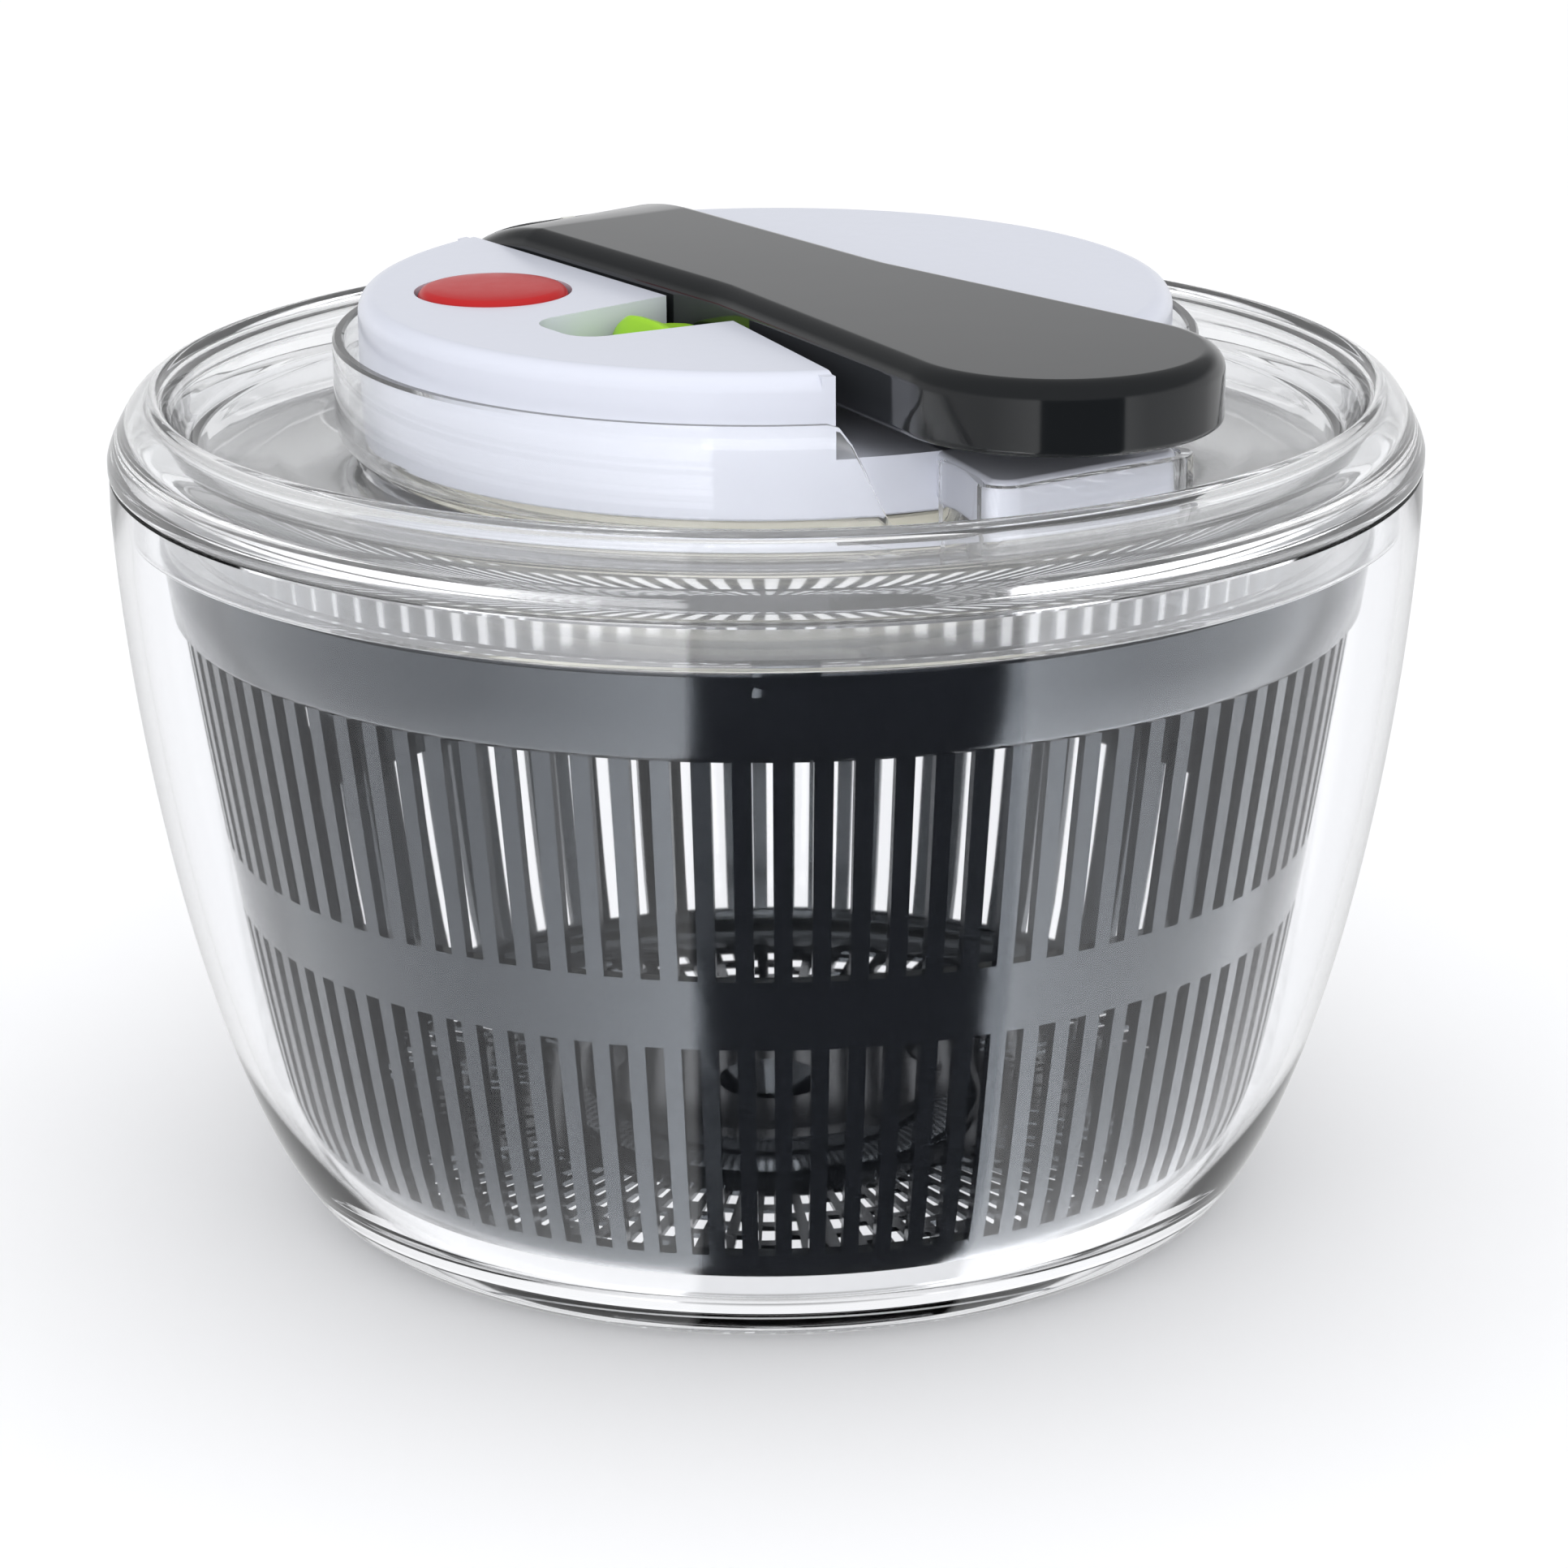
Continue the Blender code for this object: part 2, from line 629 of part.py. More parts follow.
def cover_openings():
    """The holes that go through the cover and its bosses."""
    yield rod("button_hole", (BUTTON_X, BUTTON_Y, GUIDE_LOW + 2.4), (BUTTON_X, BUTTON_Y, COVER_Z + 5.0),
              BUTTON_RADIUS + 0.6, sides=28)
    yield rod("stem_hole", (BUTTON_X, BUTTON_Y, GUIDE_LOW - 2.0), (BUTTON_X, BUTTON_Y, COVER_Z),
              STEM_RADIUS + GAP, sides=16)
    yield plate("lock_pocket", [pocket_outline(0.0, -CHANNEL_HALF + 1.0)], POCKET_FLOOR, COVER_Z + 5.0)
    yield pin_bore_rod("pin_hole", 16)
    yield block("arm_slot", (PIVOT_X - 4, -3, FLOOR_Z - 5), (PIVOT_X + 13, 7, FLOOR_Z + 1))
    yield rod("spindle_bore", (0, 0, RACK_Z - 2), (0, 0, RACK_Z + 5.4), 2.5 + GAP, sides=16)
    yield rod("pin_bore", (GEAR_X, GEAR_Y, RACK_TOP), (GEAR_X, GEAR_Y, RACK_TOP + 3.4), 1.5 + GAP, sides=12)
    for number, angle in enumerate(SCREW_ANGLES, 1):
        x, y = polar(SCREW_RING, angle)
        yield rod(f"screw_bore_{number}", (x, y, PLATE_Z - 2), (x, y, PLATE_Z + 12.0), SCREW_RADIUS + GAP, sides=12)


def cover_cavity():
    """The hollow under the cover, which leaves its top, its skirt and the channel's walls and floor."""
    wall = COVER_WALL
    low, roof = SEAT - 5.0, COVER_Z - wall
    inner = COVER_RADIUS - wall
    cavity = turned("cover_cavity", [(0.0, low), (inner, low), (inner, roof), (0.0, roof)], steps=STEPS)
    keep = plate("channel_keep", [channel_outline(wall, -95.0, 95.0)], FLOOR_Z - wall, COVER_Z + 5.0)
    cut(cavity, keep)
    tongue = plate("tongue_cavity", [tongue_outline(-wall)], SEAT - 5.0, FLOOR_Z - wall)
    return join(cavity, tongue)


# ---------------------------------------------------------------- lever

def lever_outline(shrink):
    """Plan of the lever: a rounded pivot end, straight sides, a flare and a round tip."""
    radius = LEVER_TIP_HALF
    centre = LEVER_TIP - radius
    back = COVER_RADIUS - shrink
    half = LEVER_HALF - shrink
    swing = math.degrees(math.asin(half / back))
    tip = list(arc((centre, 0.0), radius - shrink, 0.0, 96.0, 9))
    pivot_end = list(arc((0.0, 0.0), back, 180.0 - swing, 180.0, 3))
    upper = tip + [(FLARE_START, half)] + pivot_end
    return upper + [(x, -y) for x, y in reversed(upper[1:-1])]


def lever_catch():
    """The foot under the lever that the lock's plate holds down."""
    low, left, right = FLOOR_Z + 0.5, LOCK_X - CATCH_HALF, LOCK_X + CATCH_HALF
    yield block("catch_rib", (left, -9.0, low), (right, -7.0, SEAT + LEVER_TOP - 1.0))
    yield block("catch_foot", (left, -9.0, low), (right, 0.2, low + 1.6))


def make_lever(look):
    low, top = SEAT + LEVER_BOTTOM, SEAT + LEVER_TOP
    lever = plate("lever", [lever_outline(0.0)], low - 2 * LEVER_EDGE, top, look)
    move_origin(lever, PIVOT)
    edge = lever.modifiers.new("edge", "BEVEL")
    edge.width = LEVER_EDGE * MM
    edge.segments = 3
    edge.limit_method = "ANGLE"
    edge.angle_limit = math.radians(60)
    cut(lever, block("lever_underside", (-95, -45, low - 20.0), (130, 45, low)))
    cut(lever, plate("lever_hollow", [lever_outline(LEVER_WALL)], low - 5.0, top - LEVER_WALL))
    cut(lever, pin_bore_rod("lever_bore", 20))
    return join(lever, *lever_catch())


def make_lever_arm(look):
    """The crank under the lever, with the peg that pushes the rack."""
    peg_z = PIVOT.z - ARM_LENGTH
    half = 1.5
    arm = rod("lever_arm", PIVOT + Vector((0, -half, 0)), PIVOT + Vector((0, half, 0)), 5.0, look, sides=24)
    join(arm, block("arm_shank", (PIVOT_X - 2.2, -half, peg_z - 1.0), (PIVOT_X + 2.2, half, PIVOT.z)))
    join(arm, block("arm_pad", (PIVOT_X - 4.0, -half, PIVOT.z),
                    (PIVOT_X + 14.0, half, SEAT + LEVER_TOP - LEVER_WALL - GAP)))
    join(arm, rod("arm_peg", (PIVOT_X, half - 1.0, peg_z), (PIVOT_X, half + 4.0, peg_z), PEG_RADIUS, sides=12))
    cut(arm, rod("arm_bore", PIVOT + Vector((0, -5, 0)), PIVOT + Vector((0, 5, 0)), PIN_RADIUS + GAP))
    return move_origin(arm, PIVOT)


def make_return_spring(look):
    """A torsion spring wound round the lever's pin, one leg down on the channel's floor."""
    wire, radius, turns, first = 0.6, 3.6, 3, 8.0
    per_turn = 8
    steps = per_turn * turns
    points = []
    for step in range(steps + 1):
        angle = 2 * math.pi * step / per_turn
        turn = Vector((radius * math.cos(angle), first + 1.6 * step / per_turn, radius * math.sin(angle)))
        points.append(PIVOT + turn)
    end = points[-1]
    points += [end + Vector((0.6, 0.6, -3.0)), end + Vector((3.0, 0.8, FLOOR_Z + 1.2 - end.z))]
    return wire_object("return_spring", points, wire, look)


def wire_object(name, points, radius, look):
    curve = bpy.data.curves.new(name, "CURVE")
    curve.dimensions = "3D"
    curve.bevel_depth = radius * MM
    curve.bevel_resolution = 1
    curve.use_fill_caps = True
    spline = curve.splines.new("POLY")
    spline.points.add(len(points) - 1)
    for point, place_at in zip(spline.points, points):
        point.co = (*(Vector(place_at) * MM), 1.0)
    return place(bpy.data.objects.new(name, curve), look)


# ---------------------------------------------------------------- gear train

def tooth_widths():
    """Height over the pitch line and half width of a tooth's corners, with room for the mating teeth."""
    return ((-1.15, 0.95), (0.75, 0.30))


def gear_outline(teeth, phase):
    """A gear's outline, with one tooth at the phase angle in radians."""
    pitch = MODULE * teeth / 2
    profile = tooth_widths()
    points = []
    for tooth in range(teeth):
        middle = phase + 2 * math.pi * tooth / teeth
        for height, half in profile:
            points.append((pitch + height * MODULE, middle - half * MODULE / (pitch + height * MODULE)))
        for height, half in reversed(profile):
            points.append((pitch + height * MODULE, middle + half * MODULE / (pitch + height * MODULE)))
    return [(radius * math.cos(angle), radius * math.sin(angle)) for radius, angle in points]


def shifted(points, x, y):
    return [(px + x, py + y) for px, py in points]


def make_rack(look):
    """The sliding rack: its fork takes the arm's peg and its teeth turn the compound gear."""
    back, front = PIVOT_X - 6.0, GEAR_X + 8.0
    root = RACK_PITCH_Y - 1.15 * MODULE
    pitch = math.pi * MODULE
    points = [(back, RACK_BACK), (front, RACK_BACK), (front, root)]
    first_gap = GEAR_X + 0.5 * pitch
    for tooth in range(2, -6, -1):
        middle = first_gap + (tooth - 1) * pitch
        for height, half in tooth_widths():
            points.append((middle + half * MODULE, RACK_PITCH_Y + height * MODULE))
        for height, half in reversed(tooth_widths()):
            points.append((middle - half * MODULE, RACK_PITCH_Y + height * MODULE))
    points.append((back, root))
    rack = plate("drive_rack", [points], RACK_Z, RACK_TOP, look)
    fork_low, fork_high = RACK_Z, FLOOR_Z - COVER_WALL - 0.5
    fork = block("rack_fork", (PIVOT_X - 6.0, 2.2, fork_low), (PIVOT_X + 6.0, root - 0.5, fork_high))
    join(rack, fork)
    slot = PEG_RADIUS + 0.4
    return cut(rack, block("fork_slot", (PIVOT_X - slot, 1.0, RACK_Z - 2.0), (PIVOT_X + slot, 6.0, FLOOR_Z)))


def make_compound_gear(look):
    """The large gear and, above it, the small one that the rack turns."""
    towards_rack = -math.pi / 2
    large = gear_outline(LARGE_TEETH, large_phase())
    small = gear_outline(SMALL_TEETH, towards_rack)
    gear = plate("compound_gear", [shifted(large, GEAR_X, GEAR_Y)], LARGE_Z, LARGE_Z + GEAR_THICK, look)
    join(gear, plate("small_gear", [shifted(small, GEAR_X, GEAR_Y)],
                     LARGE_Z + GEAR_THICK - 0.5, RACK_TOP))
    cut(gear, rod("gear_bore", (GEAR_X, GEAR_Y, LARGE_Z - 1), (GEAR_X, GEAR_Y, FLOOR_Z), 1.8 + GAP))
    return move_origin(gear, (GEAR_X, GEAR_Y, 0.0))


def centre_direction():
    """Direction from the compound gear to the spindle."""
    return math.atan2(-GEAR_Y, -GEAR_X)


def large_phase():
    return centre_direction()


def make_spindle(look):
    """The central shaft with its pinion on top and the pawl carrier at the bottom."""
    towards_gear = centre_direction() + math.pi
    pinion = gear_outline(SMALL_TEETH, towards_gear + math.pi / SMALL_TEETH)
    spindle = plate("drive_spindle", [pinion], LARGE_Z, LARGE_Z + GEAR_THICK, look)
    flange_low, flange_high = DRIVER_Z + 0.4, DRIVER_Z + CLUTCH_HEIGHT
    shaft = turned("spindle_shaft", [
        (0.0, RACK_Z + 4.4), (2.5, RACK_Z + 4.4), (2.5, LARGE_Z + 2.0), (SHAFT_RADIUS, LARGE_Z + 1.0),
        (SHAFT_RADIUS, flange_high), (9.0, flange_high), (9.0, flange_low), (SHAFT_RADIUS, flange_low),
        (SHAFT_RADIUS, DRIVER_LOW), (1.6, DRIVER_LOW), (1.6, DRIVER_LOW + 7.0), (0.0, DRIVER_LOW + 7.0),
    ], steps=20)
    join(spindle, shaft)
    return cut(spindle, *[pawl_seat(side) for side in range(2)])


def pawl_shape(name, side, grow, low, high, look=None):
    """One spring pawl of the one-way clutch, folded in beside the ratchet's teeth."""
    turn = Matrix.Rotation(math.pi * side, 2)
    body = [(4.6 - grow, 2.0 - grow), (8.8, 2.0 - grow), (11.4 + grow, 5.2), (10.4, 6.6 + grow),
            (6.6 - grow, 5.0 + grow)]
    return plate(name, [[tuple(turn @ Vector(point)) for point in body]], low, high, look)


def pawl_seat(side):
    return pawl_shape(f"pawl_seat_{side + 1}", side, GAP, DRIVER_Z + 1.0, DRIVER_Z + 4.0)


def make_pawl(side, look):
    return pawl_shape(f"clutch_pawl_{side + 1}", side, 0.0, DRIVER_Z + 1.3, DRIVER_Z + CLUTCH_HEIGHT, look)


# ---------------------------------------------------------------- base plate and fixings

def make_base_plate(look):
    """The cream plate under the lid that carries the gears, with the lid's ledge held between it and the cover."""
    holes = [circle(5.8, 20), circle(PAD_RADIUS + 1.2, 20, (BUTTON_X, BUTTON_Y))]
    holes += [circle(SCREW_RADIUS + GAP, 12, place_at) for place_at in screw_places()]
    holes += [circle(1.5 + GAP, 12, (GEAR_X, GEAR_Y))]
    base = plate("base_plate", [circle(BASE_RADIUS, STEPS)] + holes, PLATE_LOW, PLATE_Z, look)
    wall = LEDGE_RADIUS - 0.4
    join(base, turned("base_wall", [(wall - 1.5, SEAT + WELL_FLOOR), (wall, SEAT + WELL_FLOOR),
                                    (wall, PLATE_Z - 1.0), (wall - 1.5, PLATE_Z - 1.0)], steps=STEPS))
    return join(base, block("rack_rest", (PIVOT_X + 1, RACK_BACK + 0.5, PLATE_Z - 1.0),
                            (PIVOT_X + 14, RACK_BACK + 4.5, RACK_Z - GAP)))


def make_gear_pin(look):
    return rod("gear_pin", (GEAR_X, GEAR_Y, PLATE_LOW), (GEAR_X, GEAR_Y, RACK_TOP + 3.0), 1.5, look, sides=12)


def make_bush(look):
    inner, outer = SHAFT_RADIUS + GAP, 5.5
    section = [(inner, PLATE_Z + 0.8), (outer, PLATE_Z + 0.8), (outer, PLATE_LOW), (inner, PLATE_LOW)]
    return turned("spindle_bush", section, look, steps=20)


def make_base_screw(number, x, y, look):
    head = PLATE_LOW - GAP
    section = [(0.0, PLATE_Z + 9.0), (SCREW_RADIUS, PLATE_Z + 8.0), (SCREW_RADIUS, head),
               (2.4, head), (2.0, head - 1.6), (0.0, head - 1.6)]
    return turned(f"base_screw_{number}", section, look, steps=12, centre=(x, y))


def make_lever_pin(look):
    reach = CHANNEL_HALF + COVER_WALL
    return rod("lever_pin", PIVOT + Vector((0, -reach, 0)), PIVOT + Vector((0, reach, 0)), PIN_RADIUS, look)


# ---------------------------------------------------------------- driver

def make_driver(look):
    """The hub disc that the clutch turns and that carries the basket cover."""
    top, low, bore = DRIVER_Z, DRIVER_LOW, SHAFT_RADIUS + 0.4
    section = [(bore, top), (DRIVER_RADIUS, top), (DRIVER_RADIUS, top - DRIVER_THICK), (13.0, top - DRIVER_THICK),
               (13.0, low), (bore, low)]
    return turned("driver_disc", section, look, steps=32)


def make_ratchet(look):
    inner = RATCHET_RADIUS - 3.8
    ring = circle(RATCHET_RADIUS, 36)
    teeth = []
    for tooth in range(RATCHET_TEETH):
        start = 2 * math.pi * tooth / RATCHET_TEETH
        step = 2 * math.pi / RATCHET_TEETH
        for share, radius in ((0.0, inner), (0.5, inner + 1.0), (0.92, inner + 1.9)):
            teeth.append((radius * math.cos(start + share * step), radius * math.sin(start + share * step)))
    return plate("ratchet_ring", [ring, teeth], DRIVER_Z + GAP, DRIVER_Z + CLUTCH_HEIGHT, look)


def make_basket_cover(look):
    """The clear cover that closes the basket, spins with it and is clipped round the driver's hub."""
    low, top = BASKET_TOP + GAP, SPIN_COVER_TOP
    rim = basket_rim_radius() - BASKET_WALL
    hub = 13.0 + GAP
    section = [
        (hub, top), (rim + 1.2, top), (rim + 1.2, low), (rim - 1.2, low), (rim - 1.8, low - 4.6),
        (rim - 3.2, low - 4.6), (rim - 3.2, low), (hub, low),
    ]
    cover = turned("basket_cover", section, look, steps=STEPS)
    shape = bmesh.new()
    for angle in lug_angles():
        add_radial_box(shape, rim + 0.2, angle, NOTCH_WIDTH - 2.0, BASKET_TOP - NOTCH_DEPTH + 1.0, low + 1.0, 3.4)
    return join(cover, from_bmesh("cover_lugs", shape))


def make_washer(look):
    top = DRIVER_LOW - GAP
    return turned("spindle_washer", [(1.7, top), (8.0, top), (8.0, top - 0.8), (1.7, top - 0.8)], look, steps=20)


def make_spindle_screw(look):
    head = DRIVER_LOW - GAP - 0.8 - GAP
    section = [(0.0, DRIVER_LOW + 6.0), (1.3, DRIVER_LOW + 5.4), (1.3, head), (3.4, head), (2.8, head - 1.6),
               (0.0, head - 1.6)]
    return turned("spindle_screw", section, look, steps=12)


# ---------------------------------------------------------------- brake and lock

def make_button(look):
    """The brake button: a round cap, hollow below, on a stem that carries the pad."""
    top, radius, stem = BUTTON_TOP, BUTTON_RADIUS, STEM_RADIUS
    groove_high = GUIDE_LOW - GAP
    groove_low = groove_high - 1.2
    section = [
        (0.0, top), (radius - 3.0, top), (radius - 1.2, top - 0.6), (radius, top - 2.4), (radius, top - 8.0),
        (radius - 2.0, top - 8.0), (radius - 2.0, top - 3.6), (stem, top - 3.6), (stem, groove_high),
        (stem - 1.0, groove_high), (stem - 1.0, groove_low), (stem, groove_low), (stem, STEM_LOW), (0.0, STEM_LOW),
    ]
    return turned("brake_button", section, look, steps=28, centre=(BUTTON_X, BUTTON_Y))


def make_button_clip(look):
    """The retaining clip in the stem's groove, under the button's guide."""
    high = GUIDE_LOW - GAP - 0.2
    section = [(STEM_RADIUS - 0.7, high), (STEM_RADIUS + 2.5, high), (STEM_RADIUS + 2.5, high - 0.8),
               (STEM_RADIUS - 0.7, high - 0.8)]
    return turned("button_clip", section, look, steps=16, centre=(BUTTON_X, BUTTON_Y))


def make_brake_pad(look):
    high, low, radius = STEM_LOW - GAP, PAD_LOW, PAD_RADIUS
    section = [(0.0, high), (radius - 1.0, high), (radius, high - 1.0), (radius, low + 0.6), (radius - 0.6, low),
               (0.0, low)]
    return turned("brake_pad", section, look, steps=20, centre=(BUTTON_X, BUTTON_Y))


def make_button_spring(look):
    """The spring under the button, drawn at the length that it has when the button is down."""
    wire, radius, turns, per_turn = 0.5, 6.4, 3, 8
    low, high = GUIDE_LOW + 2.4 + wire + 0.1, BUTTON_TOP - 3.6 - BUTTON_TRAVEL - wire - 0.1
    points = []
    for step in range(turns * per_turn + 1):
        angle = 2 * math.pi * step / per_turn
        height = low + (high - low) * step / (turns * per_turn)
        points.append((BUTTON_X + radius * math.cos(angle), BUTTON_Y + radius * math.sin(angle), height))
    return wire_object("button_spring", points, wire, look)


def make_lock_slider(look):
    """The lock: a block in its pocket with a thumb ridge, and a plate that reaches in under the lever."""
    low, top = POCKET_FLOOR + GAP, COVER_Z - SLIDER_TOP
    inner, outer = -CHANNEL_HALF - 0.8, POCKET_END_Y + LOCK_TRAVEL + 1.0
    radius = SLIDER_HALF - 2.5
    corner = list(arc((SLIDER_HALF - radius, outer + radius), radius, 0.0, -90.0, 4))
    right = [(SLIDER_HALF, inner)] + corner
    body = right + [(-x, y) for x, y in reversed(right)]
    slider = plate("lock_slider", [shifted(body, LOCK_X, 0.0)], low, top, look)
    ridge = block("lock_ridge", (LOCK_X - 3.0, outer + 1.5, top - 1.0), (LOCK_X + 3.0, inner - 0.5, COVER_Z - RIDGE_TOP))
    reach = block("lock_reach", (LOCK_X - 8.0, inner - 3.0, low), (LOCK_X + 8.0, 5.0, low + TONGUE_PLATE))
    window = block("lock_window", (LOCK_X - CATCH_HALF - 2.0, -18.0, low - 2.0),
                   (LOCK_X + CATCH_HALF + 2.0, 1.0, low + TONGUE_PLATE + 1.0))
    return cut(join(slider, ridge, reach), window)


# ---------------------------------------------------------------- assembly

def build():
    clear = material("clear_plastic", (0.92, 0.95, 0.97), 0.05, transmission=1.0)
    smoke = material("smoke_plastic", (0.13, 0.16, 0.19), 0.25, transmission=0.4)
    white = material("white_plastic", (0.88, 0.89, 0.93), 0.25)
    cream = material("cream_plastic", (0.86, 0.83, 0.74), 0.4)
    black = material("black_plastic", (0.012, 0.013, 0.015), 0.12)
    red = material("red_plastic", (0.65, 0.02, 0.02), 0.3)
    green = material("green_plastic", (0.35, 0.72, 0.04), 0.35)
    nylon = material("nylon", (0.80, 0.80, 0.76), 0.5)
    steel = material("steel", (0.62, 0.62, 0.63), 0.3, metallic=1.0)
    bronze = material("bronze", (0.55, 0.35, 0.16), 0.4, metallic=1.0)
    rubber = material("rubber", (0.03, 0.03, 0.03), 0.8)

    make_bowl(clear)
    make_basket(smoke)
    make_lid(clear)
    make_cover(white)
    make_base_plate(cream)
    make_lever(black)
    make_lever_arm(nylon)
    make_lever_pin(steel)
    make_return_spring(steel)
    make_rack(nylon)
    make_compound_gear(nylon)
    make_gear_pin(steel)
    make_spindle(nylon)
    make_bush(bronze)
    for side in range(2):
        make_pawl(side, nylon)
    make_ratchet(nylon)
    make_driver(nylon)
    make_basket_cover(clear)
    make_washer(steel)
    make_spindle_screw(steel)
    for number, (x, y) in enumerate(screw_places(), 1):
        make_base_screw(number, x, y, steel)
    make_button(red)
    make_button_clip(steel)
    make_brake_pad(rubber)
    make_button_spring(steel)
    make_lock_slider(green)


build()
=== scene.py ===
"""Looks of a press-lever salad spinner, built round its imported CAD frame.

Lengths below are in millimetres unless a name says otherwise, and the helpers turn them into metres.
"""

import math

import bmesh
import bpy
from mathutils import Matrix, Vector


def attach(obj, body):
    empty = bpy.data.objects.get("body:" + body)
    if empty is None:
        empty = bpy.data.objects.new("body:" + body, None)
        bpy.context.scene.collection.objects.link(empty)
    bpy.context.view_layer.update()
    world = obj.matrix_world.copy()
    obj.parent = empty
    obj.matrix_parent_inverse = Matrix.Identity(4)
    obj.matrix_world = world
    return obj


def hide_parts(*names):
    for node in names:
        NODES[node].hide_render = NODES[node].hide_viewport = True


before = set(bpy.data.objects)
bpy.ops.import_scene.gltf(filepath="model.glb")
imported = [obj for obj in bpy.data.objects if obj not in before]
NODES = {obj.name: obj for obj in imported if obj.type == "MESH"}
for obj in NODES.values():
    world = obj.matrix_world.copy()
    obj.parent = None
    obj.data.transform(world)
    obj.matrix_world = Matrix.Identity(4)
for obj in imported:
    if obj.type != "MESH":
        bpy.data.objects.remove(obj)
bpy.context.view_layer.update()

MM = 0.001

# Sizes shared by several pieces, as in the CAD
RIM_RADIUS = 125.0
BOWL_HEIGHT = 145.1
SEAT = BOWL_HEIGHT + 0.3
FOOT_RADIUS = 88.0
BOWL_WALL = 2.8
TURRET_RADIUS = 82.0
TURRET_TOP = SEAT + 23.6
WELL = SEAT + 1.5
COVER_RADIUS = 77.0
COVER_TOP = SEAT + 31.7
CHANNEL_HALF = 21.2
CHANNEL_FLOOR = SEAT + 16.4
MOUTH_HALF = 33.0
FLARE_START = 13.0
LEVER_LOW = SEAT + 22.9
LEVER_TOP = SEAT + 35.9
LEVER_HALF = 20.4
LEVER_END = 79.3
BASKET_TOP = BOWL_HEIGHT - 11.0
BUTTON = (-25.0, -45.0)
LOCK_X = 11.0
LUG_TURN = math.radians(57)

# The side that the viewer looks at, counted round from the lever's side
FRONT_TURN = math.radians(57.0)


# ---------------------------------------------------------------- materials

def shader_of(material):
    return material.node_tree.nodes["Principled BSDF"]


def blank(name):
    material = bpy.data.materials.new(name)
    material.use_nodes = True
    return material


def add(material, kind, **values):
    """A new shader node, with values set on its inputs or, where it has no such input, on itself."""
    node = material.node_tree.nodes.new(kind)
    for key, value in values.items():
        if key in node.inputs:
            node.inputs[key].default_value = value
        else:
            setattr(node, key, value)
    return node


def link(material, source, output, target, into):
    material.node_tree.links.new(source.outputs[output], target.inputs[into])


def plastic(name, colour, other, roughness, spread, grain, bump, **constants):
    """A moulded plastic: faint colour drift, uneven polish and a fine surface waviness."""
    material = blank(name)
    shader = shader_of(material)
    where = add(material, "ShaderNodeTexCoord")
    slow = add(material, "ShaderNodeTexNoise", Scale=18.0, Detail=2.0)
    fine = add(material, "ShaderNodeTexNoise", Scale=grain, Detail=4.0)
    tint = add(material, "ShaderNodeMix", data_type="RGBA")
    tint.inputs["A"].default_value = (*colour, 1.0)
    tint.inputs["B"].default_value = (*other, 1.0)
    polish = add(material, "ShaderNodeMapRange")
    polish.inputs["To Min"].default_value = roughness - spread
    polish.inputs["To Max"].default_value = roughness + spread
    raised = add(material, "ShaderNodeBump", Strength=bump, Distance=0.0002)
    link(material, where, "Object", slow, "Vector")
    link(material, where, "Object", fine, "Vector")
    link(material, slow, "Fac", tint, "Factor")
    material.node_tree.links.new(tint.outputs[2], shader.inputs["Base Color"])
    link(material, fine, "Fac", polish, "Value")
    link(material, polish, "Result", shader, "Roughness")
    link(material, fine, "Fac", raised, "Height")
    link(material, raised, "Normal", shader, "Normal")
    for key, value in constants.items():
        shader.inputs[key.replace("_", " ")].default_value = value
    return material


def clear(name, colour, grain, bump, ior, through):
    """A clear moulded plastic with faint flow marks; through is the share of light that it lets pass."""
    material = plastic(name, colour, tuple(c * 0.985 for c in colour), 0.03, 0.02, grain, bump)
    shader = shader_of(material)
    shader.inputs["Transmission Weight"].default_value = through
    shader.inputs["IOR"].default_value = ior
    return material


def metal(name, colour, roughness, grain):
    """A drawn or stamped metal with a fine, uneven grain."""
    return plastic(name, colour, tuple(c * 0.85 for c in colour), roughness, 0.08, grain, 0.2, Metallic=1.0)


BOWL_CLEAR = clear("bowl_clear", (0.985, 0.988, 1.0), 30.0, 0.02, 1.27, 1.0)
LID_CLEAR = clear("lid_clear", (0.985, 0.988, 0.992), 30.0, 0.03, 1.42, 0.96)
SMOKE = plastic("smoke", (0.006, 0.007, 0.009), (0.009, 0.010, 0.012), 0.11, 0.02, 260.0, 0.01,
                Specular_IOR_Level=0.9, Specular_Tint=(0.86, 0.93, 1.0, 1.0))
WHITE = plastic("white", (0.62, 0.64, 0.72), (0.64, 0.66, 0.74), 0.20, 0.04, 300.0, 0.04)
BLACK = plastic("black", (0.006, 0.007, 0.008), (0.009, 0.010, 0.011), 0.10, 0.03, 60.0, 0.05,
                Specular_IOR_Level=0.6)
RED = plastic("red", (0.50, 0.006, 0.008), (0.45, 0.005, 0.006), 0.32, 0.05, 300.0, 0.08)
GREEN = plastic("green", (0.34, 0.66, 0.02), (0.30, 0.60, 0.015), 0.35, 0.05, 300.0, 0.08)
CREAM = plastic("cream", (0.78, 0.76, 0.66), (0.74, 0.72, 0.62), 0.40, 0.06, 250.0, 0.10)
NYLON = plastic("nylon", (0.72, 0.72, 0.68), (0.66, 0.66, 0.61), 0.50, 0.08, 300.0, 0.20)
STEEL = metal("steel", (0.60, 0.60, 0.61), 0.30, 700.0)
BRONZE = metal("bronze", (0.52, 0.33, 0.15), 0.42, 700.0)
RUBBER = plastic("rubber", (0.020, 0.020, 0.021), (0.030, 0.030, 0.031), 0.80, 0.08, 500.0, 0.40)


# ---------------------------------------------------------------- shapes

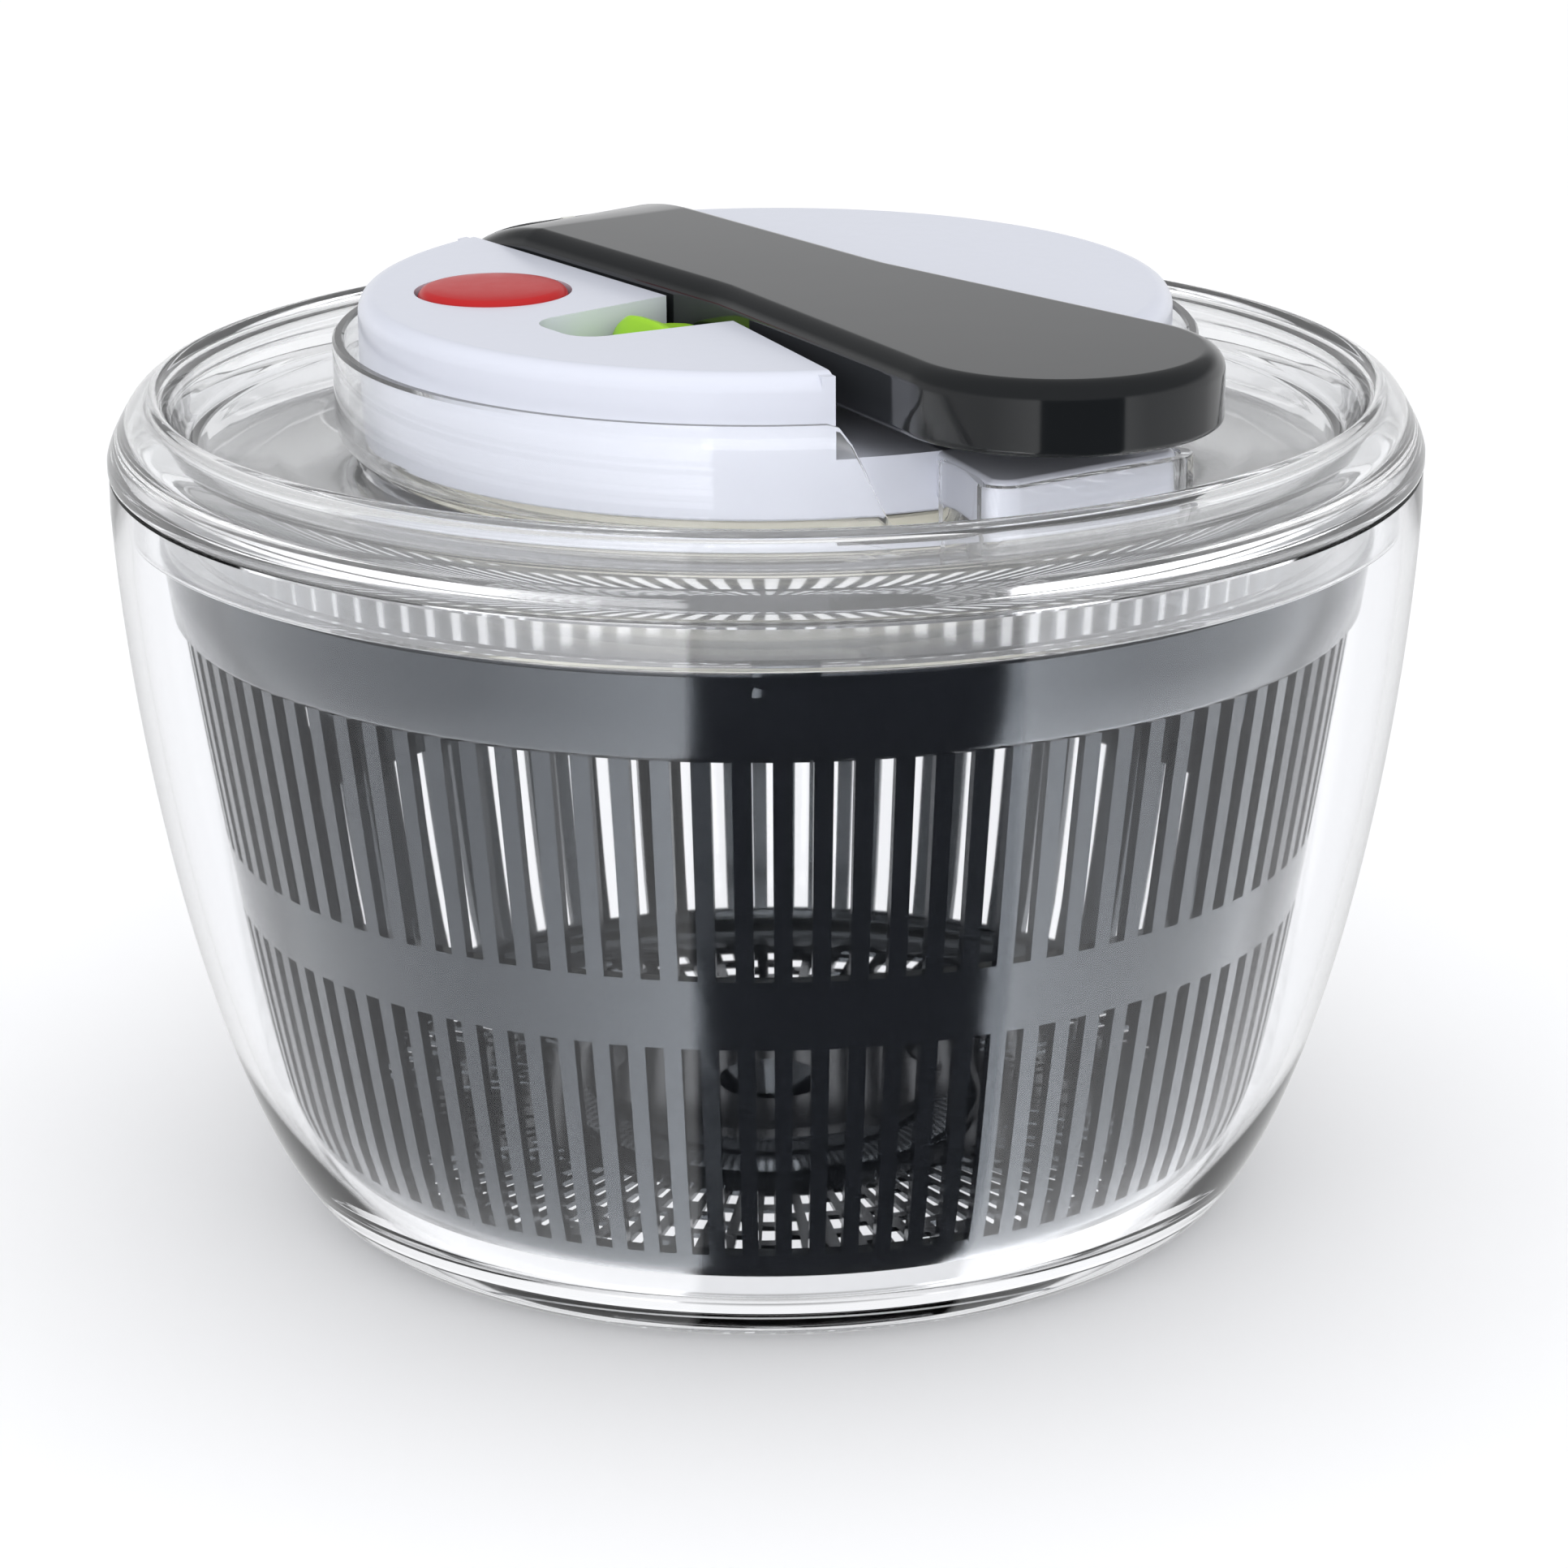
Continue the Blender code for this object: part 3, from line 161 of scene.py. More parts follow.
def finish_mesh(name, shape, look, angle=30):
    """Makes an object of a bmesh. One with no look is a cutter, kept out of sight."""
    bmesh.ops.recalc_face_normals(shape, faces=shape.faces)
    mesh = bpy.data.meshes.new(name)
    shape.to_mesh(mesh)
    shape.free()
    mesh.shade_smooth()
    mesh.set_sharp_from_angle(angle=math.radians(angle))
    obj = bpy.data.objects.new(name, mesh)
    bpy.context.scene.collection.objects.link(obj)
    if look is not None:
        mesh.materials.append(look)
    else:
        obj.hide_render = True
        obj.hide_viewport = True
    return obj


def curve_through(points, steps=4):
    """A smooth line through points: Catmull-Rom, ends kept."""
    line = []
    padded = [points[0]] + list(points) + [points[-1]]
    for p0, p1, p2, p3 in zip(padded, padded[1:], padded[2:], padded[3:]):
        p0, p1, p2, p3 = map(Vector, (p0, p1, p2, p3))
        for step in range(steps):
            t = step / steps
            a = 2 * p1 + (p2 - p0) * t + (2 * p0 - 5 * p1 + 4 * p2 - p3) * t ** 2
            line.append(tuple((a + (3 * p1 - p0 - 3 * p2 + p3) * t ** 3) / 2))
    return line + [tuple(points[-1])]


def revolve(name, section, look, steps=192, shape_point=None, angle=30, centre=(0.0, 0.0)):
    """Turns a closed (radius, height) section round an upright axis; shape_point may move its points."""
    shape = bmesh.new()
    rings = []
    for step in range(steps):
        turn = 2 * math.pi * step / steps
        ring = []
        for radius, height in section:
            if shape_point is not None:
                radius, height = shape_point(radius, height, turn)
            x, y = radius * math.cos(turn) + centre[0], radius * math.sin(turn) + centre[1]
            ring.append(shape.verts.new((x * MM, y * MM, height * MM)))
        rings.append(ring)
    for ring, following in zip(rings, rings[1:] + rings[:1]):
        for i in range(len(section)):
            j = (i + 1) % len(section)
            if section[i][0] == 0 and section[j][0] == 0:
                continue
            shape.faces.new((ring[i], following[i], following[j], ring[j]))
    bmesh.ops.remove_doubles(shape, verts=shape.verts, dist=1e-6)
    return finish_mesh(name, shape, look, angle)


def arc(centre, radius, start, end, count):
    """Points on a circle between two angles in degrees."""
    for step in range(count + 1):
        turn = math.radians(start + (end - start) * step / count)
        yield centre[0] + radius * math.cos(turn), centre[1] + radius * math.sin(turn)


def mirrored(points):
    """A half outline, then the same half the other way round across the X axis."""
    return list(points) + [(x, -y) for x, y in reversed(list(points))]


def slab(name, outline, low, high, look=None, angle=30):
    """A flat outline extruded between two heights."""
    shape = bmesh.new()
    lower = [shape.verts.new((x * MM, y * MM, low * MM)) for x, y in outline]
    face = shape.faces.new(lower)
    made = bmesh.ops.extrude_face_region(shape, geom=[face])
    raised = [v for v in made["geom"] if isinstance(v, bmesh.types.BMVert)]
    bmesh.ops.translate(shape, verts=raised, vec=(0.0, 0.0, (high - low) * MM))
    return finish_mesh(name, shape, look, angle)


def pillar(name, centre, radius, low, high, look=None, sides=64):
    return slab(name, list(arc(centre, radius, 0, 360 * (sides - 1) / sides, sides - 1)), low, high, look)


def boolean(obj, other, operation):
    step = obj.modifiers.new("b", "BOOLEAN")
    step.operation = operation
    step.solver = "EXACT"
    step.object = other


def bevel(obj, width, segments, angle=40):
    """Rounds the edges that turn by more than an angle in degrees."""
    step = obj.modifiers.new("edge", "BEVEL")
    step.width = width * MM
    step.segments = segments
    step.limit_method = "ANGLE"
    step.angle_limit = math.radians(angle)
    step.use_clamp_overlap = True
    step.harden_normals = False


def apply_all(obj, angle=30):
    """Makes the modifiers' result the object's own mesh and drops the cutters."""
    cutters = [m.object for m in obj.modifiers if m.type == "BOOLEAN"]
    evaluated = obj.evaluated_get(bpy.context.evaluated_depsgraph_get())
    mesh = bpy.data.meshes.new_from_object(evaluated)
    obj.modifiers.clear()
    obj.data = mesh
    mesh.shade_smooth()
    mesh.set_sharp_from_angle(angle=math.radians(angle))
    for cutter in cutters:
        bpy.data.objects.remove(cutter, do_unlink=True)
    return obj


def flatten(obj):
    """Keeps the shading of broad faces flat beside their rounded edges."""
    step = obj.modifiers.new("shading", "WEIGHTED_NORMAL")
    step.keep_sharp = True
    step.weight = 80


def show(obj, body, slot, *nodes):
    """Fixes a piece to its body and hides the CAD nodes that it stands for. Its slot, the name of its look,
    is not used.
    """
    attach(obj, body)
    if nodes:
        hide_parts(*nodes)
    return obj


# ---------------------------------------------------------------- bowl

def bowl_radius(height):
    """The bowl's outside: nearly upright at the rim, turning in faster and faster toward the foot."""
    share = min(max(height / BOWL_HEIGHT, 0.0), 1.0)
    return FOOT_RADIUS + (RIM_RADIUS - FOOT_RADIUS) * (1 - (1 - share) ** 1.6) ** 0.62


def bowl_inside(heights, floor):
    """The inner wall down to the floor, thicker toward the foot, then the pip that the basket turns on."""
    wall = []
    for z in reversed(heights):
        if z > floor + 4.5:
            wall.append((bowl_radius(z) - BOWL_WALL - 3.2 * max(0.0, 1 - z / 34) ** 2, z))
    corner = [(bowl_radius(floor + 2.0) - 6.6, floor + 2.0), (bowl_radius(floor) - 8.8, floor + 0.5),
              (bowl_radius(floor) - 12.0, floor)]
    pip = [(5.6, floor), (4.9, floor + 0.8), (2.4, floor + 5.0), (1.2, floor + 5.6), (0.0, floor + 5.6)]
    return wall + corner + pip


def bowl_under():
    """The underside, with two shallow rings moulded into it."""
    high, low = 2.4, 2.0
    under = [(0.0, high)]
    for ring in (30.0, 66.0):
        under += [(ring, high), (ring + 0.4, low), (ring + 1.4, low), (ring + 1.8, high)]
    return under + [(FOOT_RADIUS - 8.0, high)]


def make_bowl():
    heights = [BOWL_HEIGHT * (step / 40) ** 1.9 for step in range(1, 41)]
    foot = [(FOOT_RADIUS - 6.6, 0.35), (FOOT_RADIUS - 6.0, 0.0), (FOOT_RADIUS + 0.2, 0.0),
            (FOOT_RADIUS + 1.4, 0.6)]
    outer = [(bowl_radius(z), z) for z in heights if z > 2.5]
    rim = [(RIM_RADIUS - 0.2, BOWL_HEIGHT - 0.3), (RIM_RADIUS - 0.6, BOWL_HEIGHT),
           (RIM_RADIUS - 2.4, BOWL_HEIGHT)]
    section = foot + outer[:-1] + rim + bowl_inside(heights, 5.2) + bowl_under()
    bowl = revolve("bowl_wall", section, BOWL_CLEAR, angle=35)
    bowl.visible_shadow = False
    return show(bowl, "bowl", "clear_bowl", "bowl")


# ---------------------------------------------------------------- basket

SLOTS = 100
SLOT_SHARE = 0.52
BAND_LOW = BASKET_TOP - 15.5
LOW_SLOT = 19.0
BAR_BAND = 13.5
SLOT_TALL = (BAND_LOW - LOW_SLOT - BAR_BAND) / 2
FLOOR_TOP = 12.0
FLOOR_RADIUS = 84.0
HOLE_PITCH = 8.9
HOLE_RINGS = 4

# Of every four columns, two gaps and two bars, the ones that a row leaves open
OPEN_COLUMNS = {"": (), "slot": (0, 2), "both": (0, 2), "even": (0,), "odd": (2,)}


def basket_radius(height):
    low = bowl_radius(LOW_SLOT) - 7.0
    high = bowl_radius(BAND_LOW) - 11.0
    share = max((height - LOW_SLOT) / (BAND_LOW - LOW_SLOT), 0.0)
    return low + (high - low) * share ** 0.8


def basket_rows():
    """The wall from the rim to the floor, each row as (radius, height, what to leave out below it)."""
    rim = basket_radius(BAND_LOW) + 4.0
    rows = [(rim, BASKET_TOP, ""), (rim - 0.9, BASKET_TOP - 6.0, ""), (rim - 2.4, BAND_LOW + 0.8, ""),
            (rim - 3.2, BAND_LOW - 0.2, "")]
    for step in range(5):
        z = BAND_LOW - 0.8 - (SLOT_TALL - 0.8) * step / 5
        rows.append((basket_radius(z), z, "slot"))
    for step in range(3):
        z = BAND_LOW - SLOT_TALL - BAR_BAND * step / 3
        rows.append((basket_radius(z), z, ""))
    for step in range(6):
        z = LOW_SLOT + SLOT_TALL * (1 - step / 6)
        rows.append((basket_radius(z), z, "slot"))
    low = basket_radius(LOW_SLOT)
    rows += [(low, LOW_SLOT, ""), (low - 0.5, 17.0, ""), (low - 2.2, 14.2, ""), (low - 5.0, 12.6, ""),
             (low - 8.0, FLOOR_TOP, "")]
    return rows


def floor_rows():
    """The floor's rings of small holes, then the raised ring, the disc and the hub's edge."""
    rows = []
    for ring in range(HOLE_RINGS):
        outer = FLOOR_RADIUS - HOLE_PITCH * ring
        rows += [(outer, FLOOR_TOP, "both"), (outer - 2.15, FLOOR_TOP, "even"),
                 (outer - 4.45, FLOOR_TOP, "both"), (outer - 6.6, FLOOR_TOP, "odd")]
    rows.append((FLOOR_RADIUS - HOLE_PITCH * HOLE_RINGS, FLOOR_TOP, ""))
    rows += [(41.5, FLOOR_TOP, ""), (40.0, 14.0, ""), (37.4, 17.0, ""), (35.0, 17.0, ""), (32.4, 14.0, ""),
             (12.0, 14.0, ""), (9.6, 7.6, ""), (6.0, 7.6, "")]
    return rows


def ring_of_points(shape, radius, height):
    """Two points for every slot, one at each of its sides."""
    ring = []
    for column in range(2 * SLOTS):
        share = column // 2 + (SLOT_SHARE if column % 2 else 0.0)
        turn = 2 * math.pi * (share - SLOT_SHARE / 2 + 0.25) / SLOTS
        x, y = radius * math.cos(turn), radius * math.sin(turn)
        ring.append(shape.verts.new((x * MM, y * MM, height * MM)))
    return ring


def basket_surface():
    """A surface of bars and rings: the cells of the slots and of the floor's holes are left out."""
    rows = basket_rows() + floor_rows()
    shape = bmesh.new()
    rings = [ring_of_points(shape, radius, height) for radius, height, _ in rows]
    for above, below, row in zip(rings, rings[1:], rows):
        for column in range(2 * SLOTS):
            if column % 4 in OPEN_COLUMNS[row[2]]:
                continue
            after = (column + 1) % (2 * SLOTS)
            shape.faces.new((above[column], below[column], below[after], above[after]))
    bmesh.ops.recalc_face_normals(shape, faces=shape.faces)
    if sum(f.normal.x * f.calc_center_median().x for f in shape.faces) < 0:
        bmesh.ops.reverse_faces(shape, faces=shape.faces)
    return shape


def thicken(obj, wall):
    """Gives the surface its wall, half as thick round the floor's holes."""
    thick = obj.vertex_groups.new(name="thick")
    for vert in obj.data.vertices:
        on_floor = vert.co.z < (FLOOR_TOP + 0.3) * MM and vert.co.to_2d().length > 41.0 * MM
        thick.add([vert.index], 0.5 if on_floor else 1.0, "REPLACE")
    shell = obj.modifiers.new("wall", "SOLIDIFY")
    shell.vertex_group = "thick"
    shell.thickness = wall * MM
    shell.offset = -1.0
    shell.use_even_offset = True


def make_basket():
    mesh = bpy.data.meshes.new("basket_shell")
    shape = basket_surface()
    shape.to_mesh(mesh)
    shape.free()
    obj = bpy.data.objects.new("basket_shell", mesh)
    bpy.context.scene.collection.objects.link(obj)
    mesh.materials.append(SMOKE)
    thicken(obj, 2.0)
    apply_all(obj, 35)
    return show(obj, "basket", "smoke_basket", "basket")


# ---------------------------------------------------------------- lid

def mouth_share(turn):
    """0 where the turret's wall is whole, 1 where it is cut down for the tongue."""
    away = abs(math.atan2(math.sin(turn), math.cos(turn)))
    start, end = math.radians(26.5), math.radians(17.0)
    share = min(max((start - away) / (start - end), 0.0), 1.0)
    return share * share * (3 - 2 * share)


def turret_point(radius, height, turn):
    """Sinks the turret's wall into the well's floor where the lever's tongue passes."""
    if height <= WELL + 0.4 or radius > TURRET_RADIUS + 2.5:
        return radius, height
    share = mouth_share(turn)
    swell = 4.0 * share * (1 - share)
    return radius + swell, WELL + 0.4 + (height - WELL - 0.4) * (1 - 0.97 * share)


def lid_skirt(skirt):
    """The rim's lower edge and the skirt that stands inside the bowl."""
    return [
        (RIM_RADIUS, SEAT + 0.5), (RIM_RADIUS - 0.5, SEAT), (skirt + 0.4, SEAT), (skirt, SEAT - 0.4),
        (skirt, SEAT - 8.7), (skirt - 0.4, SEAT - 9.1), (skirt - 2.0, SEAT - 9.1), (skirt - 2.4, SEAT - 8.7),
        (skirt - 2.4, SEAT - 0.6),
    ]


def lid_under(skirt, crest):
    """The lid's inner face, from the skirt over the bead to the opening's edge in the well."""
    rim = RIM_RADIUS
    bead = curve_through([
        (skirt - 2.4, SEAT + 0.2), (rim - 4.0, SEAT + 5.4), (rim - 5.4, crest - 5.0),
        (rim - 8.8, crest - 2.5), (rim - 11.6, crest - 4.0), (rim - 13.2, SEAT + 7.0),
        (rim - 15.4, SEAT + 3.6), (rim - 18.6, SEAT + 1.6), (TURRET_RADIUS + 8.0, WELL - 2.5),
    ])
    well = [(TURRET_RADIUS, WELL - 2.5), (70.5, WELL - 2.5), (70.0, WELL - 2.0), (70.0, WELL - 0.4),
            (70.4, WELL), (73.2, WELL)]
    return bead + well


def turret_wall():
    """The turret's wall: up inside, over its top and down outside to a waist at the well."""
    inner = TURRET_RADIUS - 2.2
    inside = curve_through([(73.4, WELL + 0.3), (74.4, SEAT + 2.8), (76.6, SEAT + 4.0), (78.9, SEAT + 5.6),
                            (inner, SEAT + 8.6)])
    inside += [(inner, TURRET_TOP - 0.5), (inner + 0.4, TURRET_TOP)]
    outside = [(TURRET_RADIUS - 0.5, TURRET_TOP), (TURRET_RADIUS, TURRET_TOP - 0.6)]
    outside += curve_through([(TURRET_RADIUS, SEAT + 8.6), (TURRET_RADIUS - 0.7, SEAT + 5.6),
                              (TURRET_RADIUS - 2.6, SEAT + 3.7), (TURRET_RADIUS - 4.4, SEAT + 2.9)])
    waist = [(TURRET_RADIUS - 4.8, SEAT + 2.5), (TURRET_RADIUS - 4.6, WELL + 0.5),
             (TURRET_RADIUS - 3.4, WELL)]
    return inside + outside + waist


def lid_over(crest):
    """The lid's outer face, from the well over the bead and down to the rim."""
    rim = RIM_RADIUS
    return curve_through([
        (TURRET_RADIUS + 10.0, WELL + 0.4), (rim - 18.0, SEAT + 3.4), (rim - 14.6, SEAT + 5.6),
        (rim - 12.4, SEAT + 9.0), (rim - 10.8, crest - 1.8), (rim - 8.6, crest), (rim - 5.0, crest - 2.4),
        (rim - 2.4, SEAT + 8.0), (rim - 0.7, SEAT + 4.6), (rim, SEAT + 2.4),
    ])


def make_lid():
    crest = SEAT + 14.4
    skirt = bowl_radius(BOWL_HEIGHT - 9.1) - BOWL_WALL - 0.6
    section = lid_skirt(skirt) + lid_under(skirt, crest) + turret_wall() + lid_over(crest)
    lid = revolve("lid_clear_shell", section, LID_CLEAR, steps=240, shape_point=turret_point, angle=38)
    lid.visible_shadow = False
    return show(lid, "lid", "clear_lid", "lid_shell")


def tongue_outline(grow, start):
    """The tongue from above, grown all round: a narrow neck and a rounded rectangle in front of it."""
    end = RIM_RADIUS - 24.5 + grow
    neck, half, corner = 15.0 + grow, 20.5 + grow, 4.5 + grow * 0.5
    rounded = list(arc((end - corner, half - corner), corner, 80.0, 0.0, 6))
    waist = [(start, neck), (start + 5.0, neck + 0.3), (start + 9.0, neck + 1.2)]
    return mirrored(waist + rounded)


def make_tongue_box():
    """The clear box round the white tongue: side walls and an end wall that stand on the lid's floor."""
    low, high, wall, gap, start = WELL - 1.0, CHANNEL_FLOOR - 0.6, 2.2, 0.6, 79.2
    outer, inner = tongue_outline(gap + wall, start), tongue_outline(gap, start)
    shape = bmesh.new()
    levels = []
    for outline, z in ((outer, low), (outer, high - 0.4), (outer, high), (inner, high), (inner, high - 0.4),
                       (inner, low)):
        inset = 0.35 if z == high else 0.0
        sign = -1.0 if outline is outer else 1.0
        line = []
        for x, y in outline:
            push = Vector((x - 85.0, y)).normalized() * inset * sign
            line.append(shape.verts.new(((x + push.x) * MM, (y + push.y) * MM, z * MM)))
        levels.append(line)
    for a, b in zip(levels, levels[1:] + levels[:1]):
        for i in range(len(outer) - 1):
            shape.faces.new((a[i], a[i + 1], b[i + 1], b[i]))
    for end in (0, -1):
        shape.faces.new([line[end] for line in levels])
    box = finish_mesh("tongue_box", shape, LID_CLEAR, 40)
    box.visible_shadow = False
    return show(box, "lid", "clear_lid")


# ---------------------------------------------------------------- cover

def channel_outline(grow, back, front):
    """The lever's channel from above: straight sides that flare out toward the mouth."""
    flare = (MOUTH_HALF - CHANNEL_HALF) / (COVER_RADIUS * 0.9 - FLARE_START)
    side = CHANNEL_HALF + grow
    half = [(back, side), (FLARE_START - 4.0, side), (FLARE_START + 4.0, side + flare * 4.0),
            (front, side + flare * (front - FLARE_START))]
    return mirrored(half)


def pocket_outline(grow, open_y):
    """The lock's pocket from above: open to the channel, with a rounded outer end."""
    radius = 6.5 + grow
    end = -CHANNEL_HALF - 33.0 - grow
    middle = 9.6 + grow - radius
    corner = list(arc((middle, end + radius), radius, 0.0, -90.0, 10))
    right = [(13.0 + grow, open_y)] + corner
    left = [(-x, y) for x, y in reversed(right)]
    return [(x + LOCK_X, y) for x, y in right + left]


def cover_shell():
    """The cover's top and wall with a rounded shoulder."""
    low, top, edge = SEAT + 5.6, COVER_TOP, 3.4
    inner = COVER_RADIUS - 2.4
    outside = [(COVER_RADIUS - 0.4, low), (COVER_RADIUS, low + 0.4), (COVER_RADIUS, top - edge)]
    outside += list(arc((COVER_RADIUS - edge, top - edge), edge, 8, 90, 8))
    section = outside + [(0.0, top), (0.0, top - 2.4), (inner, top - 2.4), (inner, low)]
    return revolve("white_cover", section, WHITE, steps=160, angle=30)


def outside_cutter(name, radius, low, high):
    """Everything outside a radius, as a cutter."""
    section = [(radius, low), (radius + 40.0, low), (radius + 40.0, high), (radius, high)]
    return revolve(name, section, None, steps=160)


def make_cover():
    """The white cover: rounded rim, lever channel, pockets for the button and the lock, slit for the arm."""
    top, over = COVER_TOP - 0.5, COVER_TOP + 5.0
    cover = cover_shell()
    walls = channel_outline(2.4, -80.0, 78.0)
    boolean(cover, slab("channel_walls", walls, CHANNEL_FLOOR - 2.4, top), "UNION")
    boolean(cover, outside_cutter("trim", COVER_RADIUS, SEAT - 4.4, COVER_TOP + 20.0), "DIFFERENCE")
    boolean(cover, pillar("button_wall", BUTTON, 16.8, COVER_TOP - 15.0, top), "UNION")
    walls = pocket_outline(2.0, -CHANNEL_HALF - 1.0)
    boolean(cover, slab("lock_wall", walls, COVER_TOP - 15.1, top), "UNION")
    boolean(cover, slab("channel", channel_outline(0.0, -95.0, 95.0), CHANNEL_FLOOR, over), "DIFFERENCE")
    boolean(cover, pillar("button_pocket", BUTTON, 14.9, COVER_TOP - 12.6, over, sides=96), "DIFFERENCE")
    pocket = pocket_outline(0.0, -CHANNEL_HALF + 1.0)
    boolean(cover, slab("lock_pocket", pocket, COVER_TOP - 13.1, over), "DIFFERENCE")
    slit = [(-70, -3), (-53, -3), (-53, 7), (-70, 7)]
    boolean(cover, slab("arm_slit", slit, CHANNEL_FLOOR - 5, CHANNEL_FLOOR + 1), "DIFFERENCE")
    bevel(cover, 0.9, 3, 50)
    apply_all(cover, 30)
    flatten(cover)
    return show(cover, "lid", "white_cover", "top_cover")


def make_tongue():
    """The white tongue that the lever's tip comes down on."""
    tongue = slab("white_tongue", tongue_outline(0.0, 70.0), CHANNEL_FLOOR - 9.0, CHANNEL_FLOOR, WHITE)
    bevel(tongue, 1.2, 3, 50)
    apply_all(tongue, 30)
    flatten(tongue)
    return show(tongue, "lid", "white_cover")


def make_base():
    """The cream plate under the lid, with a wall that stands in the lid's opening."""
    low, top = SEAT - 4.3, SEAT - 1.3
    section = [
        (6.0, top), (6.0, low), (74.6, low), (75.6, low + 0.5), (76.0, low + 1.4), (76.0, top - 0.4),
        (75.6, top), (69.6, top), (69.6, WELL + 1.4), (69.2, WELL + 1.8), (67.6, WELL + 1.8),
        (67.2, WELL + 1.4), (67.2, top),
    ]
    base = revolve("cream_base", section, CREAM, steps=160, angle=40)
    boolean(base, pillar("pad_hole", BUTTON, 8.2, low - 2.0, top + 2.0), "DIFFERENCE")
    apply_all(base, 40)
    return show(base, "lid", "cream_base", "base_plate")


# ---------------------------------------------------------------- lever

def lever_outline(shrink):
    """The lever from above, counted from the round tip to its end over the hinge, inset by shrink."""
    radius = 29.6
    centre = RIM_RADIUS - 6.0 - radius
    half, back, corner = LEVER_HALF - shrink, LEVER_END - shrink, 4.0 - 0.9 * shrink
    tip = list(arc((centre, 0.0), radius - shrink, 0.0, 97.0, 28))
    waist = [(FLARE_START + 7.0, half + 0.9), (FLARE_START + 1.0, half + 0.15), (FLARE_START - 5.0, half)]
    tilt = math.degrees(math.asin((half - corner) / (back - corner)))
    turning = (-math.sqrt((back - corner) ** 2 - (half - corner) ** 2), half - corner)
    pivot_end = list(arc(turning, corner, 90.0, 180.0 - tilt, 5))
    pivot_end += list(arc((0.0, 0.0), back, 180.0 - tilt, 180.0, 8))[1:]
    upper = tip + waist + pivot_end
    return upper + [(x, -y) for x, y in reversed(upper[1:-1])]


def round_down(lever):
    """Curves the lever's top down toward its pivot end, and more on the side of the lock."""
    start, end, drop, side_drop, keep = -52.0, -LEVER_END, 5.5, 4.0, LEVER_LOW + 1.5
    shape = bmesh.new()
    shape.from_mesh(lever.data)
    for cut in range(12):
        x = start + (end - start) * cut / 12
        everything = list(shape.verts) + list(shape.edges) + list(shape.faces)
        bmesh.ops.bisect_plane(shape, geom=everything, plane_co=(x * MM, 0.0, 0.0),
                               plane_no=(1.0, 0.0, 0.0))
    for vert in shape.verts:
        share = (start - vert.co.x / MM) / (start - end)
        if share > 0:
            above = max(vert.co.z / MM - keep, 0.0) / (LEVER_TOP - keep)
            aside = min(max(-vert.co.y / MM / LEVER_HALF, 0.0), 1.0) ** 3
            vert.co.z -= (drop * share ** 2.2 + side_drop * share * aside) * above * MM
    shape.to_mesh(lever.data)
    shape.free()
    lever.data.shade_smooth()
    lever.data.set_sharp_from_angle(angle=math.radians(35))


def loft(name, levels, look):
    """A closed solid through outlines of one point count, each at its own height."""
    shape = bmesh.new()
    rows = [[shape.verts.new((x * MM, y * MM, z * MM)) for x, y in outline] for outline, z in levels]
    for a, b in zip(rows, rows[1:]):
        for i in range(len(a)):
            j = (i + 1) % len(a)
            shape.faces.new((a[i], a[j], b[j], b[i]))
    shape.faces.new(list(reversed(rows[0])))
    shape.faces.new(rows[-1])
    return finish_mesh(name, shape, look)


def lever_levels(edge):
    """The lever's outlines from its lower edge to its top, rounded over by edge."""
    low, top = LEVER_LOW, LEVER_TOP
    levels = [(lever_outline(0.8), low), (lever_outline(0.2), low + 0.5), (lever_outline(0.0), low + 1.2)]
    for step in range(9):
        turn = math.radians(90 * step / 8)
        levels.append((lever_outline(edge * (1 - math.cos(turn))), top - edge + edge * math.sin(turn)))
    return levels


def make_lever():
    """The black lever: a hollow shell with the catch that the lock holds down."""
    lever = loft("black_lever", lever_levels(3.8), BLACK)
    boolean(lever, slab("hollow", lever_outline(3.0), LEVER_LOW - 5.0, LEVER_TOP - 3.0), "DIFFERENCE")
    left, right, low = LOCK_X - 2.5, LOCK_X + 2.5, CHANNEL_FLOOR + 0.5
    rib = [(left, -9), (right, -9), (right, -7), (left, -7)]
    boolean(lever, slab("rib", rib, low, LEVER_TOP - 1.0), "UNION")
    foot = [(left, -9), (right, -9), (right, 0.2), (left, 0.2)]
    boolean(lever, slab("foot", foot, low, CHANNEL_FLOOR + 2.1), "UNION")
    apply_all(lever, 35)
    round_down(lever)
    flatten(lever)
    return show(lever, "lever", "black_lever", "lever")


# ---------------------------------------------------------------- brake button and lock

def make_button():
    """The red button: a shallow dome with a skirt, on a stem with the clip's groove."""
    top, radius, stem, groove, low = COVER_TOP + 1.2, 14.3, 3.5, COVER_TOP - 15.3, 142.9
    crown = list(reversed(list(arc((radius - 2.2, top - 2.2 - 0.35), 2.2, 0, 82, 8))))
    section = [(0.0, top), (6.0, top - 0.04), (10.0, top - 0.16)] + crown
    section += [(radius, top - 7.6), (radius - 0.4, top - 8.0), (radius - 2.0, top - 8.0),
                (radius - 2.0, top - 3.6)]
    section += [(stem, top - 3.6), (stem, groove), (stem - 1.0, groove), (stem - 1.0, groove - 1.2),
                (stem, groove - 1.2), (stem, low), (0.0, low)]
    button = revolve("red_button", section, RED, steps=96, centre=BUTTON)
    return show(button, "button", "red_button", "brake_button")


LOCK_HALF = 9.5
LOCK_LOW = COVER_TOP - 12.8
LOCK_TOP = COVER_TOP - 5.4
LOCK_INNER = -CHANNEL_HALF - 0.8
LOCK_OUTER = -CHANNEL_HALF - 25.0


